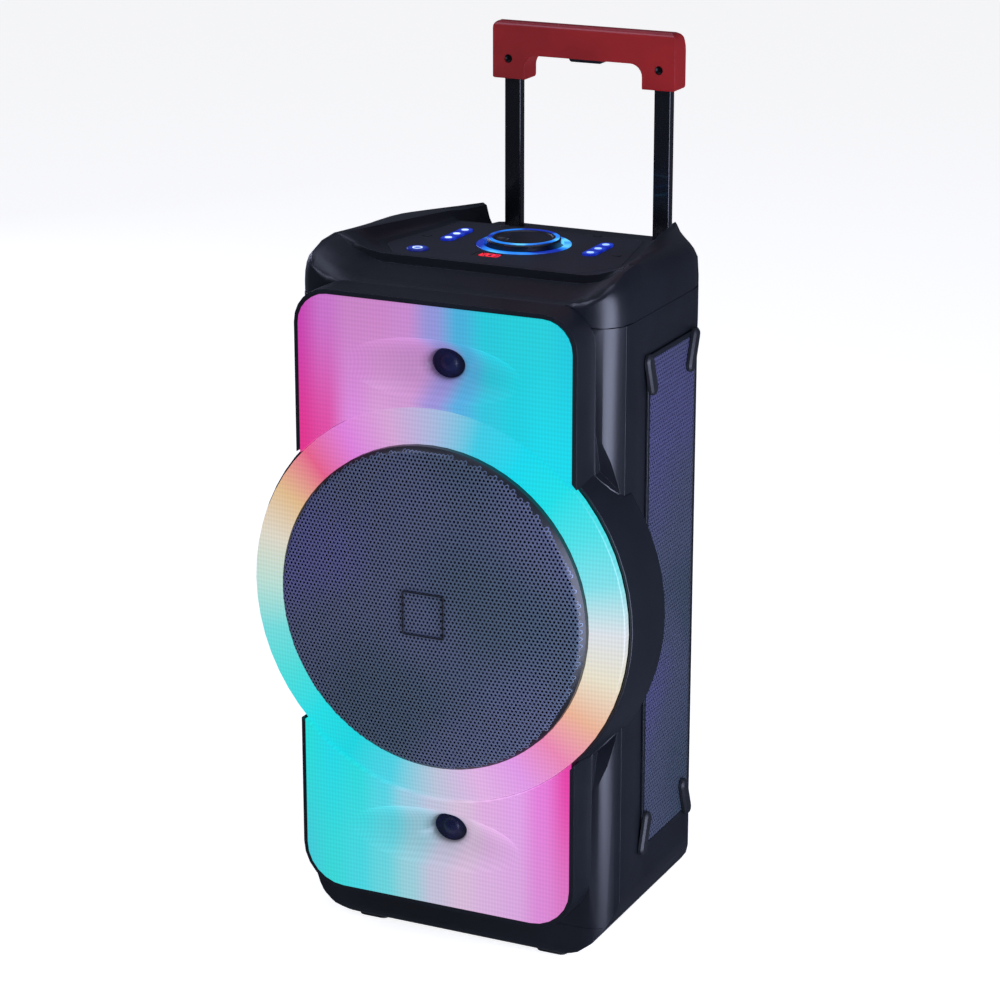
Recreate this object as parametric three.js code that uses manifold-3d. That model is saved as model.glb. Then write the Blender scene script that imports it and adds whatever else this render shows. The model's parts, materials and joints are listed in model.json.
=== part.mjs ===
// Trolley party speaker: a tall battery-powered cabinet with a 12 inch woofer, two recessed
// tweeters, a light ring and two light lenses on its front, a control deck under a rimmed cap,
// a telescopic pull handle and two rear wheels.
//
// Millimetres, +Z up. The front faces -Y and the cabinet is symmetric about X = 0. The origin
// lies on the floor under the middle of the cabinet's overall depth.

import * as THREE from 'three';
import { mergeVertices } from 'three/addons/utils/BufferGeometryUtils.js';
import Module from 'manifold-3d';

const wasm = await Module();
wasm.setup();

// ---------------------------------------------------------------- driving sizes

const GAP = 0.3;                // clearance between pieces that meet

// cabinet
const CABINET_WIDTH = 316;
const CABINET_DEPTH = 304;
const FOOT_HEIGHT = 4;
const BASE_HEIGHT = 34;
const SHELL_HEIGHT = 561;
const FRONT_SHELL_DEPTH = 22;
const CORNER_RADIUS = 30;
const BASE_SIDE_RADIUS = 66;    // lower side edges, which run up into the shells
const BASE_FRONT_RADIUS = 12;
const BASE_FLOOR = 4;
const BASE_REAR_RADIUS = 20;
const WALL = 5;
const SIDE_WALL = 9;
const SPINE_DEPTH = 39;         // straight rear part that holds the handle tubes
const TAPER_DEPTH = 77;         // depth over which the sides run in to the spine
const SPINE_MARGIN = 25.4;      // from a handle tube's centre to the spine's side
const SPINE_CORNER = 14;

// cap and deck
const DECK_RISE = 30.5;         // deck above the cap's lower edge
const RIM_RISE = 15.5;          // side rims above the deck at their front horns
const RIM_FALL = 9;             // how much lower the rims are at the rear
const RIM_INSET = 14;           // rim crest in from the cabinet's side at the front
const DECK_FRONT = 60;          // deck's front edge behind the cabinet's face
const DECK_LENGTH = 152;
const DECK_STEP = 8;            // step down from the deck to the shelf in front of it
const VALLEY_DEPTH = 18.5;      // stow pocket for the grip, below the deck
const VALLEY_SLOPE = 25;
const CAP_THICKNESS = 7;
const CAP_EDGE_RISE = 9;        // straight lower edge of the cap
const PANEL_THICKNESS = 3;

// front lights
const LENS_PROUD = 38;          // lens faces in front of the cabinet's face
const LENS_WIDTH = 264.4;
const LENS_TOP = 13.4;          // above the cap seam
const LENS_BOTTOM = 14;         // above the base seam
const LENS_THICKNESS = 6;
const LENS_CORNER = 28;
const LENS_LOWER_CORNER = 37;
const FRAME_WALL = 4.7;
const RING_Z = 338;             // woofer axis above the floor
const RING_INNER_RADIUS = 150.3;
const RING_WIDTH = 33;
const RING_THICKNESS = 4;
const RING_SLOPE = 5;           // how far the ring's outer edge is behind its inner edge
const RING_SKIRT = 7;           // depth of the ring's outer wall
const RING_SKIRT_WALL = 2.4;
const DRUM_TAPER = 5.9;
const DRUM_REACH = 71.4;        // drum's rear edge behind the lens faces
const DRUM_LIP = 3;
const DRUM_BACK = 7.4;
const UPPER_HORN_OFFSET = 217;  // tweeter axes above and below the woofer axis
const LOWER_HORN_OFFSET = 222;
const HORN_MOUTH_X = 95;
const HORN_MOUTH_Z = 31;
const THROAT_RADIUS = 13;
const HORN_WALL = 2.5;

// drivers
const GRILLE_PROUD = 22;        // badge face in front of the lens faces
const GRILLE_SHEET = 1.6;
const BADGE_SIZE = 41;
const BADGE_THICKNESS = 1.5;
const WOOFER_HOLE_RADIUS = 142;
const WOOFER_FLANGE_RADIUS = 151;
const MAGNET_RADIUS = 74;
const TWEETER_FLANGE = 4.2;
const TWEETER_FLANGE_RADIUS = 27;
const TWEETER_RADIUS = 22;

// side panels
const PANEL_TOP_MARGIN = 40;    // perforated insert below the cap seam
const PANEL_BOTTOM_MARGIN = 49;
const PANEL_FRONT_MARGIN = 55;  // insert behind the front shell's seam
const PANEL_RECESS = 5.5;
const PANEL_SLOPE = 30;
const INSERT_THICKNESS = 2.2;
const SIDE_FOOT_LENGTH = 41;
const SIDE_FOOT_WIDTH = 13;
const SIDE_FOOT_PROUD = 2;
const SIDE_FOOT_TILT = THREE.MathUtils.degToRad(20);

// handle
const HANDLE_SPACING = 153.2;
const TUBE_WIDTH = 16.6;
const TUBE_DEPTH = 10;
const TUBE_WALL = 1.6;
const TUBE_SETBACK = 12.6;      // tube axis in front of the cabinet's back
const TUBE_CLEARANCE = 0.5;
const TUBE_INSERT = 19;         // tube's top below the grip's top
const TUBE_OVERLAP = 129;       // tube left inside its sleeve when the handle is up
const HANDLE_STROKE = 142;
const STOW_CLEARANCE = 1.6;
const GRIP_WIDTH = 185;
const GRIP_DEPTH = 27;
const GRIP_SHIFT = 1.4;         // grip's middle in front of the tubes' middle
const GRIP_HEIGHT = 54.4;
const GRIP_POST = 32.5;
const GRIP_BAR = 31;
const BUTTON_LENGTH = 34;
const BUTTON_DEPTH = 14;
const BUTTON_PROUD = 4;

// deck controls
const DIAL_SETBACK = 149;       // dial centre behind the cabinet's face
const DIAL_RADIUS = 34;
const DIAL_HEIGHT = 6.5;
const DIAL_RING_GAP = 3;
const DIAL_RING_WIDTH = 6.5;
const KEY_PITCH = 17.6;
const KEY_WIDTH = 13.4;
const KEY_OFFSET_X = 71;
const KEY_OFFSET_Y = 6;
const KEY_PROUD = 1.5;
const KEY_HEIGHT = 3.1;
const POWER_RADIUS = 10;
const POWER_OFFSET = [-78, -60];
const DISPLAY_SIZE = [26, 15];
const DISPLAY_X = -11;
const DISPLAY_MARGIN = 3;       // between the display and the dial's ring

// wheels and feet
const WHEEL_RADIUS = 30;
const WHEEL_WIDTH = 24;
const WHEEL_OFFSET = 73;
const WHEEL_SETBACK = 35;
const HUB_RADIUS = 20;
const AXLE_RADIUS = 4;
const HOUSING_WALL = 3;
const HOUSING_CLEARANCE = 4;
const FRONT_FOOT = [30, 16];
const FRONT_FOOT_OFFSET = 92;

// rear panel
const REAR_PANEL = [118, 190];
const REAR_PANEL_Z = 345;
const REAR_PANEL_THICKNESS = 3.5;
const PORT_RADIUS = 33;
const PORT_WALL = 3;
const PORT_LENGTH = 80;
const PORT_FLARE = 9;
const PORT_Z = 150;
const MIC_RADIUS = 9;
const JACK_RADIUS = 3.3;
const INLET_SIZE = [26, 14];
const INLET_WALL = 2.5;
const ROCKER_SIZE = [13, 19];
const ROCKER_TILT = THREE.MathUtils.degToRad(6);

// ---------------------------------------------------------------- places that follow

const HALF_WIDTH = CABINET_WIDTH / 2;
const BACK_Y = (CABINET_DEPTH + LENS_PROUD + GRILLE_PROUD) / 2;
const FACE_Y = BACK_Y - CABINET_DEPTH;
const LENS_Y = FACE_Y - LENS_PROUD;
const FRONT_SEAM_Y = FACE_Y + FRONT_SHELL_DEPTH;
const SPINE_Y = BACK_Y - SPINE_DEPTH;
const TAPER_Y = SPINE_Y - TAPER_DEPTH;
const SPINE_HALF_WIDTH = HANDLE_SPACING / 2 + SPINE_MARGIN;

const BASE_TOP_Z = FOOT_HEIGHT + BASE_HEIGHT;
const SEAM_Z = BASE_TOP_Z + SHELL_HEIGHT;
const DECK_Z = SEAM_Z + DECK_RISE;
const RIM_Z = DECK_Z + RIM_RISE;
const VALLEY_Z = DECK_Z - VALLEY_DEPTH;
const SHELF_Z = DECK_Z - DECK_STEP;
const CAP_EDGE_Z = SEAM_Z + CAP_EDGE_RISE;
const DECK_FRONT_Y = FACE_Y + DECK_FRONT;
const DECK_BACK_Y = DECK_FRONT_Y + DECK_LENGTH;

const RING_OUTER_RADIUS = RING_INNER_RADIUS + RING_WIDTH;
const DRUM_FRONT = RING_SLOPE + RING_SKIRT + GAP;
const DRUM_INNER_RADIUS = RING_OUTER_RADIUS + GAP;
const DRUM_OUTER_RADIUS = DRUM_INNER_RADIUS + DRUM_LIP;
const DRUM_REAR_RADIUS = DRUM_OUTER_RADIUS + DRUM_TAPER;
const LENS_HALF_WIDTH = LENS_WIDTH / 2;
const LENS_TOP_Z = SEAM_Z + LENS_TOP;
const LENS_BOTTOM_Z = BASE_TOP_Z + LENS_BOTTOM;
const HORN_DEPTH = LENS_PROUD - TWEETER_FLANGE - 2 * GAP;
const TWEETERS = [
  { name: 'upper', z: RING_Z + UPPER_HORN_OFFSET },
  { name: 'lower', z: RING_Z - LOWER_HORN_OFFSET },
];
const SIDES = [{ name: 'left', sign: -1 }, { name: 'right', sign: 1 }];

const HANDLE_Y = BACK_Y - TUBE_SETBACK;
const GRIP_BOTTOM_Z = VALLEY_Z + STOW_CLEARANCE + HANDLE_STROKE;
const GRIP_TOP_Z = GRIP_BOTTOM_Z + GRIP_HEIGHT;
const BAR_BOTTOM_Z = GRIP_TOP_Z - GRIP_BAR;
const TUBE_TOP_Z = GRIP_TOP_Z - TUBE_INSERT;
const TUBE_BOTTOM_Z = SEAM_Z - TUBE_OVERLAP;
const DIAL_Y = FACE_Y + DIAL_SETBACK;
const DIAL_RING_INNER = DIAL_RADIUS + DIAL_RING_GAP;
const DIAL_RING_OUTER = DIAL_RING_INNER + DIAL_RING_WIDTH;
const DISPLAY_Y = DIAL_Y - DIAL_RING_OUTER - DISPLAY_MARGIN - DISPLAY_SIZE[1] / 2;
const POCKET_Z = DECK_Z - PANEL_THICKNESS - GAP;

// ---------------------------------------------------------------- geometry helpers

const ARC_STEPS = 3;

// A closed body from a three.js geometry: shared vertices merged, collapsed triangles at
// poles dropped, faces turned outwards.
function solid(geometry) {
  const bare = geometry.clone();
  bare.deleteAttribute('normal');
  bare.deleteAttribute('uv');
  const merged = mergeVertices(bare, 1e-3);
  const points = merged.attributes.position;
  const corner = [0, 1, 2].map(() => new THREE.Vector3());
  const triangles = [];
  let volume = 0;
  for (let i = 0; i < merged.index.count; i += 3) {
    const [a, b, c] = [0, 1, 2].map((k) => merged.index.getX(i + k));
    if (a === b || b === c || c === a) continue;
    triangles.push([a, b, c]);
    [a, b, c].forEach((vertex, k) => corner[k].fromBufferAttribute(points, vertex));
    volume += corner[0].dot(corner[1].cross(corner[2]));
  }
  if (volume < 0) triangles.forEach((triangle) => triangle.reverse());
  return new wasm.Manifold(new wasm.Mesh({
    numProp: 3,
    vertProperties: new Float32Array(points.array),
    triVerts: new Uint32Array(triangles.flat()),
  }));
}

function geometryOf(body) {
  const mesh = body.getMesh();
  const geometry = new THREE.BufferGeometry();
  geometry.setAttribute('position', new THREE.BufferAttribute(new Float32Array(mesh.vertProperties), 3));
  geometry.setIndex(new THREE.BufferAttribute(new Uint32Array(mesh.triVerts), 1));
  geometry.computeVertexNormals();
  return geometry;
}

// Outline from corners [x, y, radius], counter-clockwise, each corner rounded by an arc.
function outline(corners) {
  const shape = new THREE.Shape();
  corners.forEach(([x, y, radius = 0], i) => {
    const before = corners[(i + corners.length - 1) % corners.length];
    const after = corners[(i + 1) % corners.length];
    const corner = new THREE.Vector2(x, y);
    const back = new THREE.Vector2(before[0] - x, before[1] - y).normalize();
    const ahead = new THREE.Vector2(after[0] - x, after[1] - y).normalize();
    const half = Math.acos(THREE.MathUtils.clamp(back.dot(ahead), -1, 1)) / 2;
    const reach = radius / Math.tan(half);
    const start = corner.clone().addScaledVector(back, reach);
    if (i === 0) shape.moveTo(start.x, start.y);
    else shape.lineTo(start.x, start.y);
    if (radius > 0) {
      const end = corner.clone().addScaledVector(ahead, reach);
      const bisector = back.clone().add(ahead).normalize();
      const centre = corner.clone().addScaledVector(bisector, radius / Math.sin(half));
      const from = Math.atan2(start.y - centre.y, start.x - centre.x);
      const to = Math.atan2(end.y - centre.y, end.x - centre.x);
      shape.absarc(centre.x, centre.y, radius, from, to, back.cross(ahead) > 0);
    }
  });
  shape.closePath();
  return shape;
}

// The same corners moved inwards by a distance (outwards when it is negative).
function inset(corners, distance) {
  return corners.map(([x, y, radius = 0], i) => {
    const before = corners[(i + corners.length - 1) % corners.length];
    const after = corners[(i + 1) % corners.length];
    const back = new THREE.Vector2(before[0] - x, before[1] - y).normalize();
    const ahead = new THREE.Vector2(after[0] - x, after[1] - y).normalize();
    const half = Math.acos(back.dot(ahead)) / 2;
    const inward = back.cross(ahead) > 0 ? -distance : distance;
    const shift = back.add(ahead).normalize().multiplyScalar(inward / Math.sin(half));
    return [x + shift.x, y + shift.y, Math.max(radius - inward, 0)];
  });
}

function rectangle(width, height, radius = 0, x = 0, y = 0) {
  return [
    [x - width / 2, y - height / 2, radius],
    [x + width / 2, y - height / 2, radius],
    [x + width / 2, y + height / 2, radius],
    [x - width / 2, y + height / 2, radius],
  ];
}

function extruded(corners, depth, options = {}) {
  return new THREE.ExtrudeGeometry(outline(corners), {
    depth,
    bevelEnabled: false,
    curveSegments: ARC_STEPS,
    ...options,
  });
}

// Prisms of an outline drawn in XY, XZ or YZ, between two heights, depths or widths.
function alongZ(corners, low, high) {
  return solid(extruded(corners, high - low).translate(0, 0, low));
}

function alongY(corners, low, high) {
  return solid(extruded(corners, high - low).rotateX(Math.PI / 2).translate(0, high, 0));
}

const YZ_TO_X = new THREE.Matrix4().makeBasis(
  new THREE.Vector3(0, 1, 0),
  new THREE.Vector3(0, 0, 1),
  new THREE.Vector3(1, 0, 0),
);

function alongX(corners, low, high) {
  return solid(extruded(corners, high - low).applyMatrix4(YZ_TO_X).translate(low, 0, 0));
}

function block(x0, x1, y0, y1, z0, z1) {
  return alongZ([[x0, y0], [x1, y0], [x1, y1], [x0, y1]], z0, z1);
}

// Bodies of revolution from a closed profile of [radius, height]. The axis is Y, Z or X.
function turned(profile, segments) {
  const points = profile.map(([radius, height]) => new THREE.Vector2(radius, height));
  if (profile[0][0] > 0) points.push(points[0].clone());
  return new THREE.LatheGeometry(points, segments);
}

function turnedY(profile, segments, y = 0, z = 0) {
  return solid(turned(profile, segments).translate(0, y, z));
}

function turnedZ(profile, segments, x = 0, y = 0) {
  return solid(turned(profile, segments).rotateX(Math.PI / 2).translate(x, y, 0));
}

function turnedX(profile, segments) {
  return solid(turned(profile, segments).rotateZ(-Math.PI / 2));
}

function rodY(radius, y0, y1, x, z, segments = 24) {
  const rod = new THREE.CylinderGeometry(radius, radius, y1 - y0, segments);
  return solid(rod.translate(x, (y0 + y1) / 2, z));
}

function rodZ(radius, z0, z1, x, y, segments = 24) {
  const rod = new THREE.CylinderGeometry(radius, radius, z1 - z0, segments).rotateX(Math.PI / 2);
  return solid(rod.translate(x, y, (z0 + z1) / 2));
}

function rodX(radius, x0, x1, y, z, segments = 24) {
  const rod = new THREE.CylinderGeometry(radius, radius, x1 - x0, segments).rotateZ(-Math.PI / 2);
  return solid(rod.translate((x0 + x1) / 2, y, z));
}

function ease(t) {
  const clamped = THREE.MathUtils.clamp(t, 0, 1);
  return clamped * clamped * (3 - 2 * clamped);
}

// ---------------------------------------------------------------- materials

function finish(color, roughness, metalness = 0) {
  return new THREE.MeshStandardMaterial({ color, roughness, metalness });
}

const blackPlastic = finish(0x14181d, 0.5);
const deckPlastic = finish(0x2a3138, 0.6);
const redPlastic = finish(0x8e1a1c, 0.45);
const lightLens = finish(0xd9b8e6, 0.4);
const perforatedSteel = finish(0x2b2e38, 0.5, 0.6);
const tubeSteel = finish(0x111418, 0.35, 0.8);
const castMetal = finish(0x3a3c40, 0.6, 0.6);
const paperCone = finish(0x17181a, 0.9);
const circuitBoard = finish(0x1d4a2c, 0.6);
const softRubber = finish(0x0f0f10, 0.85);
const steelRod = finish(0xb5b8bc, 0.3, 1);
const blueLight = finish(0x2f6fe0, 0.3);
const redDisplay = finish(0x5a0f14, 0.2);
const batteryWrap = finish(0x24507a, 0.5);

// ---------------------------------------------------------------- cabinet

// Plan of the cabinet: straight sides, then a taper in to the spine at the back.
function cabinetPlan() {
  return [
    [-HALF_WIDTH, FACE_Y, CORNER_RADIUS],
    [HALF_WIDTH, FACE_Y, CORNER_RADIUS],
    [HALF_WIDTH, TAPER_Y, 40],
    [SPINE_HALF_WIDTH, SPINE_Y, 25],
    [SPINE_HALF_WIDTH, BACK_Y, SPINE_CORNER],
    [-SPINE_HALF_WIDTH, BACK_Y, SPINE_CORNER],
    [-SPINE_HALF_WIDTH, SPINE_Y, 25],
    [-HALF_WIDTH, TAPER_Y, 40],
  ];
}

// Half the width of the plan at one depth, read off its rounded outline.
function halfWidthAt(y) {
  const points = outline(cabinetPlan()).getPoints(ARC_STEPS);
  let widest = 0;
  for (let i = 0; i < points.length - 1; i += 1) {
    const [low, high] = [points[i], points[i + 1]].sort((p, q) => p.y - q.y);
    if (y < low.y - 1e-6 || y > high.y + 1e-6) continue;
    const t = high.y - low.y < 1e-6 ? 1 : (y - low.y) / (high.y - low.y);
    const x = high.y - low.y < 1e-6 ? Math.max(low.x, high.x) : low.x + (high.x - low.x) * t;
    widest = Math.max(widest, x);
  }
  return widest;
}

// Front view of the cabinet below the cap seam, with its large lower corners.
function roundedFront(margin = 0) {
  const low = FOOT_HEIGHT + margin;
  const half = HALF_WIDTH - margin;
  const radius = BASE_SIDE_RADIUS - margin;
  const corners = [[-half, low, radius], [half, low, radius], [half, SEAM_Z], [-half, SEAM_Z]];
  return alongY(corners, FACE_Y - 1, BACK_Y + 1);
}

// Outer surface of the drum round the woofer, as [radius, distance behind the lens faces].
function drumOuter(clearance) {
  return [
    [DRUM_OUTER_RADIUS + clearance, DRUM_FRONT],
    [DRUM_REAR_RADIUS + clearance, DRUM_REACH],
  ];
}

function drumSpace(backY) {
  const [front, rear] = drumOuter(GAP);
  const profile = [[0, -10], [front[0], -10], front, rear, [rear[0], DRUM_REACH + 10], [0, DRUM_REACH + 10]];
  const whole = turnedY(profile, 64, LENS_Y, RING_Z);
  const limit = DRUM_REAR_RADIUS + 20;
  return whole.intersect(block(-limit, limit, LENS_Y - 20, backY, RING_Z - limit, RING_Z + limit));
}

function lensCorners(margin) {
  const half = LENS_HALF_WIDTH + margin;
  const upper = LENS_CORNER + margin;
  const lower = LENS_LOWER_CORNER + margin;
  return [
    [-half, LENS_BOTTOM_Z - margin, lower],
    [half, LENS_BOTTOM_Z - margin, lower],
    [half, LENS_TOP_Z + margin, upper],
    [-half, LENS_TOP_Z + margin, upper],
  ];
}

// Sloped pocket in a front corner, deepest where it meets the drum. up is 1 above the woofer
// axis and -1 below it.
function cornerScoop(side, up) {
  const start = DRUM_REAR_RADIUS - 19;
  const end = start - 75;
  const depth = 18;
  const corners = [
    [FACE_Y - 1, start + 3],
    [FACE_Y - 1, end],
    [FACE_Y + depth, end],
    [FACE_Y + depth, end + 10],
  ];
  const inner = LENS_HALF_WIDTH + FRAME_WALL + 1;
  const wedge = extruded(corners, HALF_WIDTH - inner + 10).applyMatrix4(YZ_TO_X);
  wedge.translate(inner, 0, 0).scale(side, 1, up).translate(0, 0, RING_Z);
  return solid(wedge).subtract(drumSpace(BACK_Y));
}

function frontShell() {
  const bottom = BASE_TOP_Z + GAP;
  const top = SEAM_Z - GAP;
  const seam = FRONT_SEAM_Y - GAP;
  const rail = 12;
  const hollowHalf = HALF_WIDTH - CORNER_RADIUS;
  let shell = alongZ(cabinetPlan(), bottom, top).intersect(roundedFront());
  shell = shell.subtract(block(-HALF_WIDTH - 1, HALF_WIDTH + 1, seam, BACK_Y + 1, bottom - 1, top + 1));
  const hollow = block(-hollowHalf, hollowHalf, FACE_Y + WALL, seam + 1, bottom + rail, top - rail);
  shell = shell.subtract(hollow);
  for (const side of [-1, 1]) {
    for (const up of [-1, 1]) shell = shell.subtract(cornerScoop(side, up));
  }
  let frame = alongY(lensCorners(FRAME_WALL), LENS_Y + 1.5, FACE_Y + 3);
  frame = frame.subtract(alongY(lensCorners(GAP), LENS_Y - 1, FACE_Y));
  frame = frame.subtract(drumSpace(BACK_Y));
  const frameHalf = LENS_HALF_WIDTH + FRAME_WALL + 1;
  frame = frame.subtract(block(-frameHalf, frameHalf, FACE_Y - GAP, FACE_Y + 4, top, LENS_TOP_Z + 20));
  shell = shell.add(frame);
  shell = shell.subtract(rodY(WOOFER_HOLE_RADIUS, FACE_Y - 1, seam + 1, 0, RING_Z, 40));
  for (const { z } of TWEETERS) {
    shell = shell.subtract(rodY(TWEETER_RADIUS + GAP, FACE_Y - 1, seam + 1, 0, z));
  }
  return shell;
}

// Outline of the perforated insert in a side panel, in Y and Z.
function insertCorners(margin) {
  const front = FRONT_SEAM_Y + PANEL_FRONT_MARGIN;
  const back = TAPER_Y + 1;
  const bottom = BASE_TOP_Z + PANEL_BOTTOM_MARGIN;
  const top = SEAM_Z - PANEL_TOP_MARGIN;
  const whole = [[front, bottom, 8], [back, bottom, 8], [back, top, 8], [front, top, 8]];
  return inset(whole, margin);
}

// Pocket with sloped sides, narrow at the insert and wide at the cabinet's surface.
function sideRecess(side) {
  const pocket = extruded(insertCorners(0), 10, {
    bevelEnabled: true,
    bevelThickness: PANEL_RECESS,
    bevelSize: PANEL_SLOPE,
    bevelSegments: 1,
  });
  pocket.applyMatrix4(YZ_TO_X).translate(HALF_WIDTH, 0, 0).scale(side, 1, 1);
  return solid(pocket);
}

function wheelWell(side, grow, top) {
  const halfWidth = WHEEL_WIDTH / 2 + HOUSING_CLEARANCE + grow;
  const front = BACK_Y - WHEEL_SETBACK - WHEEL_RADIUS - HOUSING_CLEARANCE - grow;
  const x = side * WHEEL_OFFSET;
  return block(x - halfWidth, x + halfWidth, front, BACK_Y + 1, -1, top);
}

const WELL_TOP_Z = 2 * WHEEL_RADIUS + HOUSING_CLEARANCE;
const HOUSING_TOP_Z = WELL_TOP_Z + HOUSING_WALL;

function rearShell() {
  const bottom = BASE_TOP_Z + GAP;
  const top = SEAM_Z - GAP;
  let shell = alongZ(cabinetPlan(), bottom, top).intersect(roundedFront());
  const hollow = alongZ(inset(cabinetPlan(), WALL), bottom - 1, top + 1);
  const hollowHalf = HALF_WIDTH - SIDE_WALL;
  const hollowBlock = block(-hollowHalf, hollowHalf, FACE_Y, BACK_Y, bottom - 1, top + 1);
  shell = shell.subtract(hollow.intersect(hollowBlock).intersect(roundedFront(WALL)));
  const frontHalf = block(-HALF_WIDTH - 1, HALF_WIDTH + 1, FACE_Y - 1, FRONT_SEAM_Y, bottom - 1, top + 1);
  shell = shell.subtract(frontHalf);
  for (const { sign } of SIDES) {
    shell = shell.subtract(sideRecess(sign));
    shell = shell.subtract(wheelWell(sign, HOUSING_WALL + GAP, HOUSING_TOP_Z + GAP));
  }
  const window = rectangle(REAR_PANEL[0] + 2 * GAP, REAR_PANEL[1] + 2 * GAP, 6, 0, REAR_PANEL_Z);
  shell = shell.subtract(alongY(window, BACK_Y - WALL - 1, BACK_Y + 1));
  const portHole = PORT_RADIUS + PORT_FLARE + PORT_WALL + GAP;
  return shell.subtract(rodY(portHole, BACK_Y - WALL - 1, BACK_Y + 1, 0, PORT_Z, 32));
}

// Tray block with rounded lower edges.
function baseBlock() {
  const low = FOOT_HEIGHT;
  const high = BASE_TOP_Z + 1;
  const lengthways = [
    [FACE_Y, low, BASE_FRONT_RADIUS],
    [BACK_Y, low, BASE_REAR_RADIUS],
    [BACK_Y, high],
    [FACE_Y, high],
  ];
  return alongZ(cabinetPlan(), low, BASE_TOP_Z)
    .intersect(roundedFront())
    .intersect(alongX(lengthways, -HALF_WIDTH - 1, HALF_WIDTH + 1));
}

function baseTray() {
  const whole = baseBlock();
  const cavity = alongZ(inset(cabinetPlan(), 20), FOOT_HEIGHT + BASE_FLOOR, BASE_TOP_Z + 1);
  let tray = whole.subtract(cavity.intersect(roundedFront(BASE_FLOOR)));
  const axleY = BACK_Y - WHEEL_SETBACK;
  const reach = WHEEL_OFFSET + WHEEL_WIDTH;
  for (const { sign } of SIDES) {
    const above = block(-HALF_WIDTH, HALF_WIDTH, FACE_Y, BACK_Y - GAP, BASE_TOP_Z - 1, HOUSING_TOP_Z);
    const housing = wheelWell(sign, HOUSING_WALL, HOUSING_TOP_Z).intersect(whole.add(above));
    tray = tray.add(housing).subtract(wheelWell(sign, 0, WELL_TOP_Z));
  }
  return tray.subtract(rodX(AXLE_RADIUS + GAP, -reach, reach, axleY, WHEEL_RADIUS));
}

// ---------------------------------------------------------------- cap

const HORN_Y = DECK_FRONT_Y + 2;
const RIM_END_Y = SPINE_Y + 4;
const REAR_BULGE = 0.55;        // below 1, the shoulder is fuller than an ellipse at the rear

function rimX(y) {
  const t = THREE.MathUtils.clamp((y - HORN_Y) / (RIM_END_Y - HORN_Y), 0, 1);
  return THREE.MathUtils.lerp(HALF_WIDTH - RIM_INSET, SPINE_HALF_WIDTH - 6, t);
}

function rimZ(y) {
  const t = THREE.MathUtils.clamp((y - HORN_Y) / (RIM_END_Y - HORN_Y), 0, 1);
  const crest = RIM_Z - RIM_FALL * t;
  return THREE.MathUtils.lerp(crest, VALLEY_Z, ease((y - RIM_END_Y) / 6));
}

// Width of the rim's inner flank: broad at the front corners, steep further back.
function flankWidth(y) {
  return THREE.MathUtils.lerp(50, 10, ease((y - DECK_FRONT_Y) / 45));
}

function deckHalfWidth(y) {
  return rimX(y) - flankWidth(y);
}

// Height of the cap's top at one depth, where flank runs from 0 on the deck to 1 at the rim.
function capHeight(y, flank) {
  const bowl = flank * flank;
  if (y < DECK_FRONT_Y + 0.5) {
    const t = THREE.MathUtils.clamp((y - FACE_Y) / DECK_FRONT, 0, 1);
    const top = THREE.MathUtils.lerp(SHELF_Z, RIM_Z, bowl);
    const front = SHELF_Z - 5.5;
    return THREE.MathUtils.lerp(front, top, Math.sqrt(1 - (1 - t) ** 2));
  }
  const floor = THREE.MathUtils.lerp(DECK_Z, VALLEY_Z, ease((y - DECK_BACK_Y) / VALLEY_SLOPE));
  return THREE.MathUtils.lerp(floor, rimZ(y), bowl);
}

// The cap's outer form, or with a margin the space inside it. Columns run from the middle over
// the deck, up the flank to the rim, and over the shoulder to the cabinet's side.
function capForm(margin, columns, keepRow) {
  const rollRows = [0, 1, 2, 3, 4].map((k) => FACE_Y + DECK_FRONT * (1 - Math.cos(k * Math.PI / 8)));
  const deckRows = [1, 14, 30, 46, 80, 110].map((step) => DECK_FRONT_Y + step);
  const taperRows = [TAPER_Y, DECK_BACK_Y, DECK_BACK_Y + 8, DECK_BACK_Y + 17, DECK_BACK_Y + VALLEY_SLOPE];
  const rearRows = [RIM_END_Y, RIM_END_Y + 3, RIM_END_Y + 6, BACK_Y - 14, BACK_Y - 5, BACK_Y];
  const every = [...rollRows, ...deckRows, ...taperRows, ...rearRows].sort((p, q) => p - q);
  const rows = every.filter((row, i) => i % keepRow === 0 || i === every.length - 1);
  const form = new THREE.BoxGeometry(2, 2, 2, columns, rows.length - 1, 1);
  const points = form.attributes.position;
  for (let i = 0; i < points.count; i += 1) {
    const across = Math.abs(points.getX(i));
    const y = rows[Math.round((points.getY(i) + 1) / 2 * (rows.length - 1))];
    const edge = halfWidthAt(y) - margin;
    const rim = Math.min(rimX(y), edge - 3);
    const deck = Math.min(deckHalfWidth(y), rim - 5);
    const flank = THREE.MathUtils.clamp((across - 0.3) / 0.3, 0, 1);
    const shoulder = THREE.MathUtils.clamp((across - 0.6) / 0.4, 0, 1) * Math.PI / 2;
    let x = deck * Math.min(across / 0.3, 1) + (rim - deck) * flank;
    const bulge = THREE.MathUtils.lerp(1, REAR_BULGE, ease((y - DECK_FRONT_Y) / 100));
    x += (edge - rim) * Math.sin(shoulder) ** bulge;
    const drop = Math.max(Math.cos(shoulder), 0) ** bulge;
    const top = THREE.MathUtils.lerp(CAP_EDGE_Z, capHeight(y, flank), drop) - (margin > 0 ? CAP_THICKNESS : 0);
    const bottom = margin > 0 ? SEAM_Z - 1 : SEAM_Z;
    const squeeze = 1 - 2 * margin / CABINET_DEPTH;
    const middle = FACE_Y + CABINET_DEPTH / 2;
    points.setXYZ(
      i,
      Math.sign(points.getX(i)) * x,
      middle + (y - middle) * squeeze,
      points.getZ(i) > 0 ? Math.max(top, bottom + 1.2) : bottom,
    );
  }
  return solid(form);
}

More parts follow.
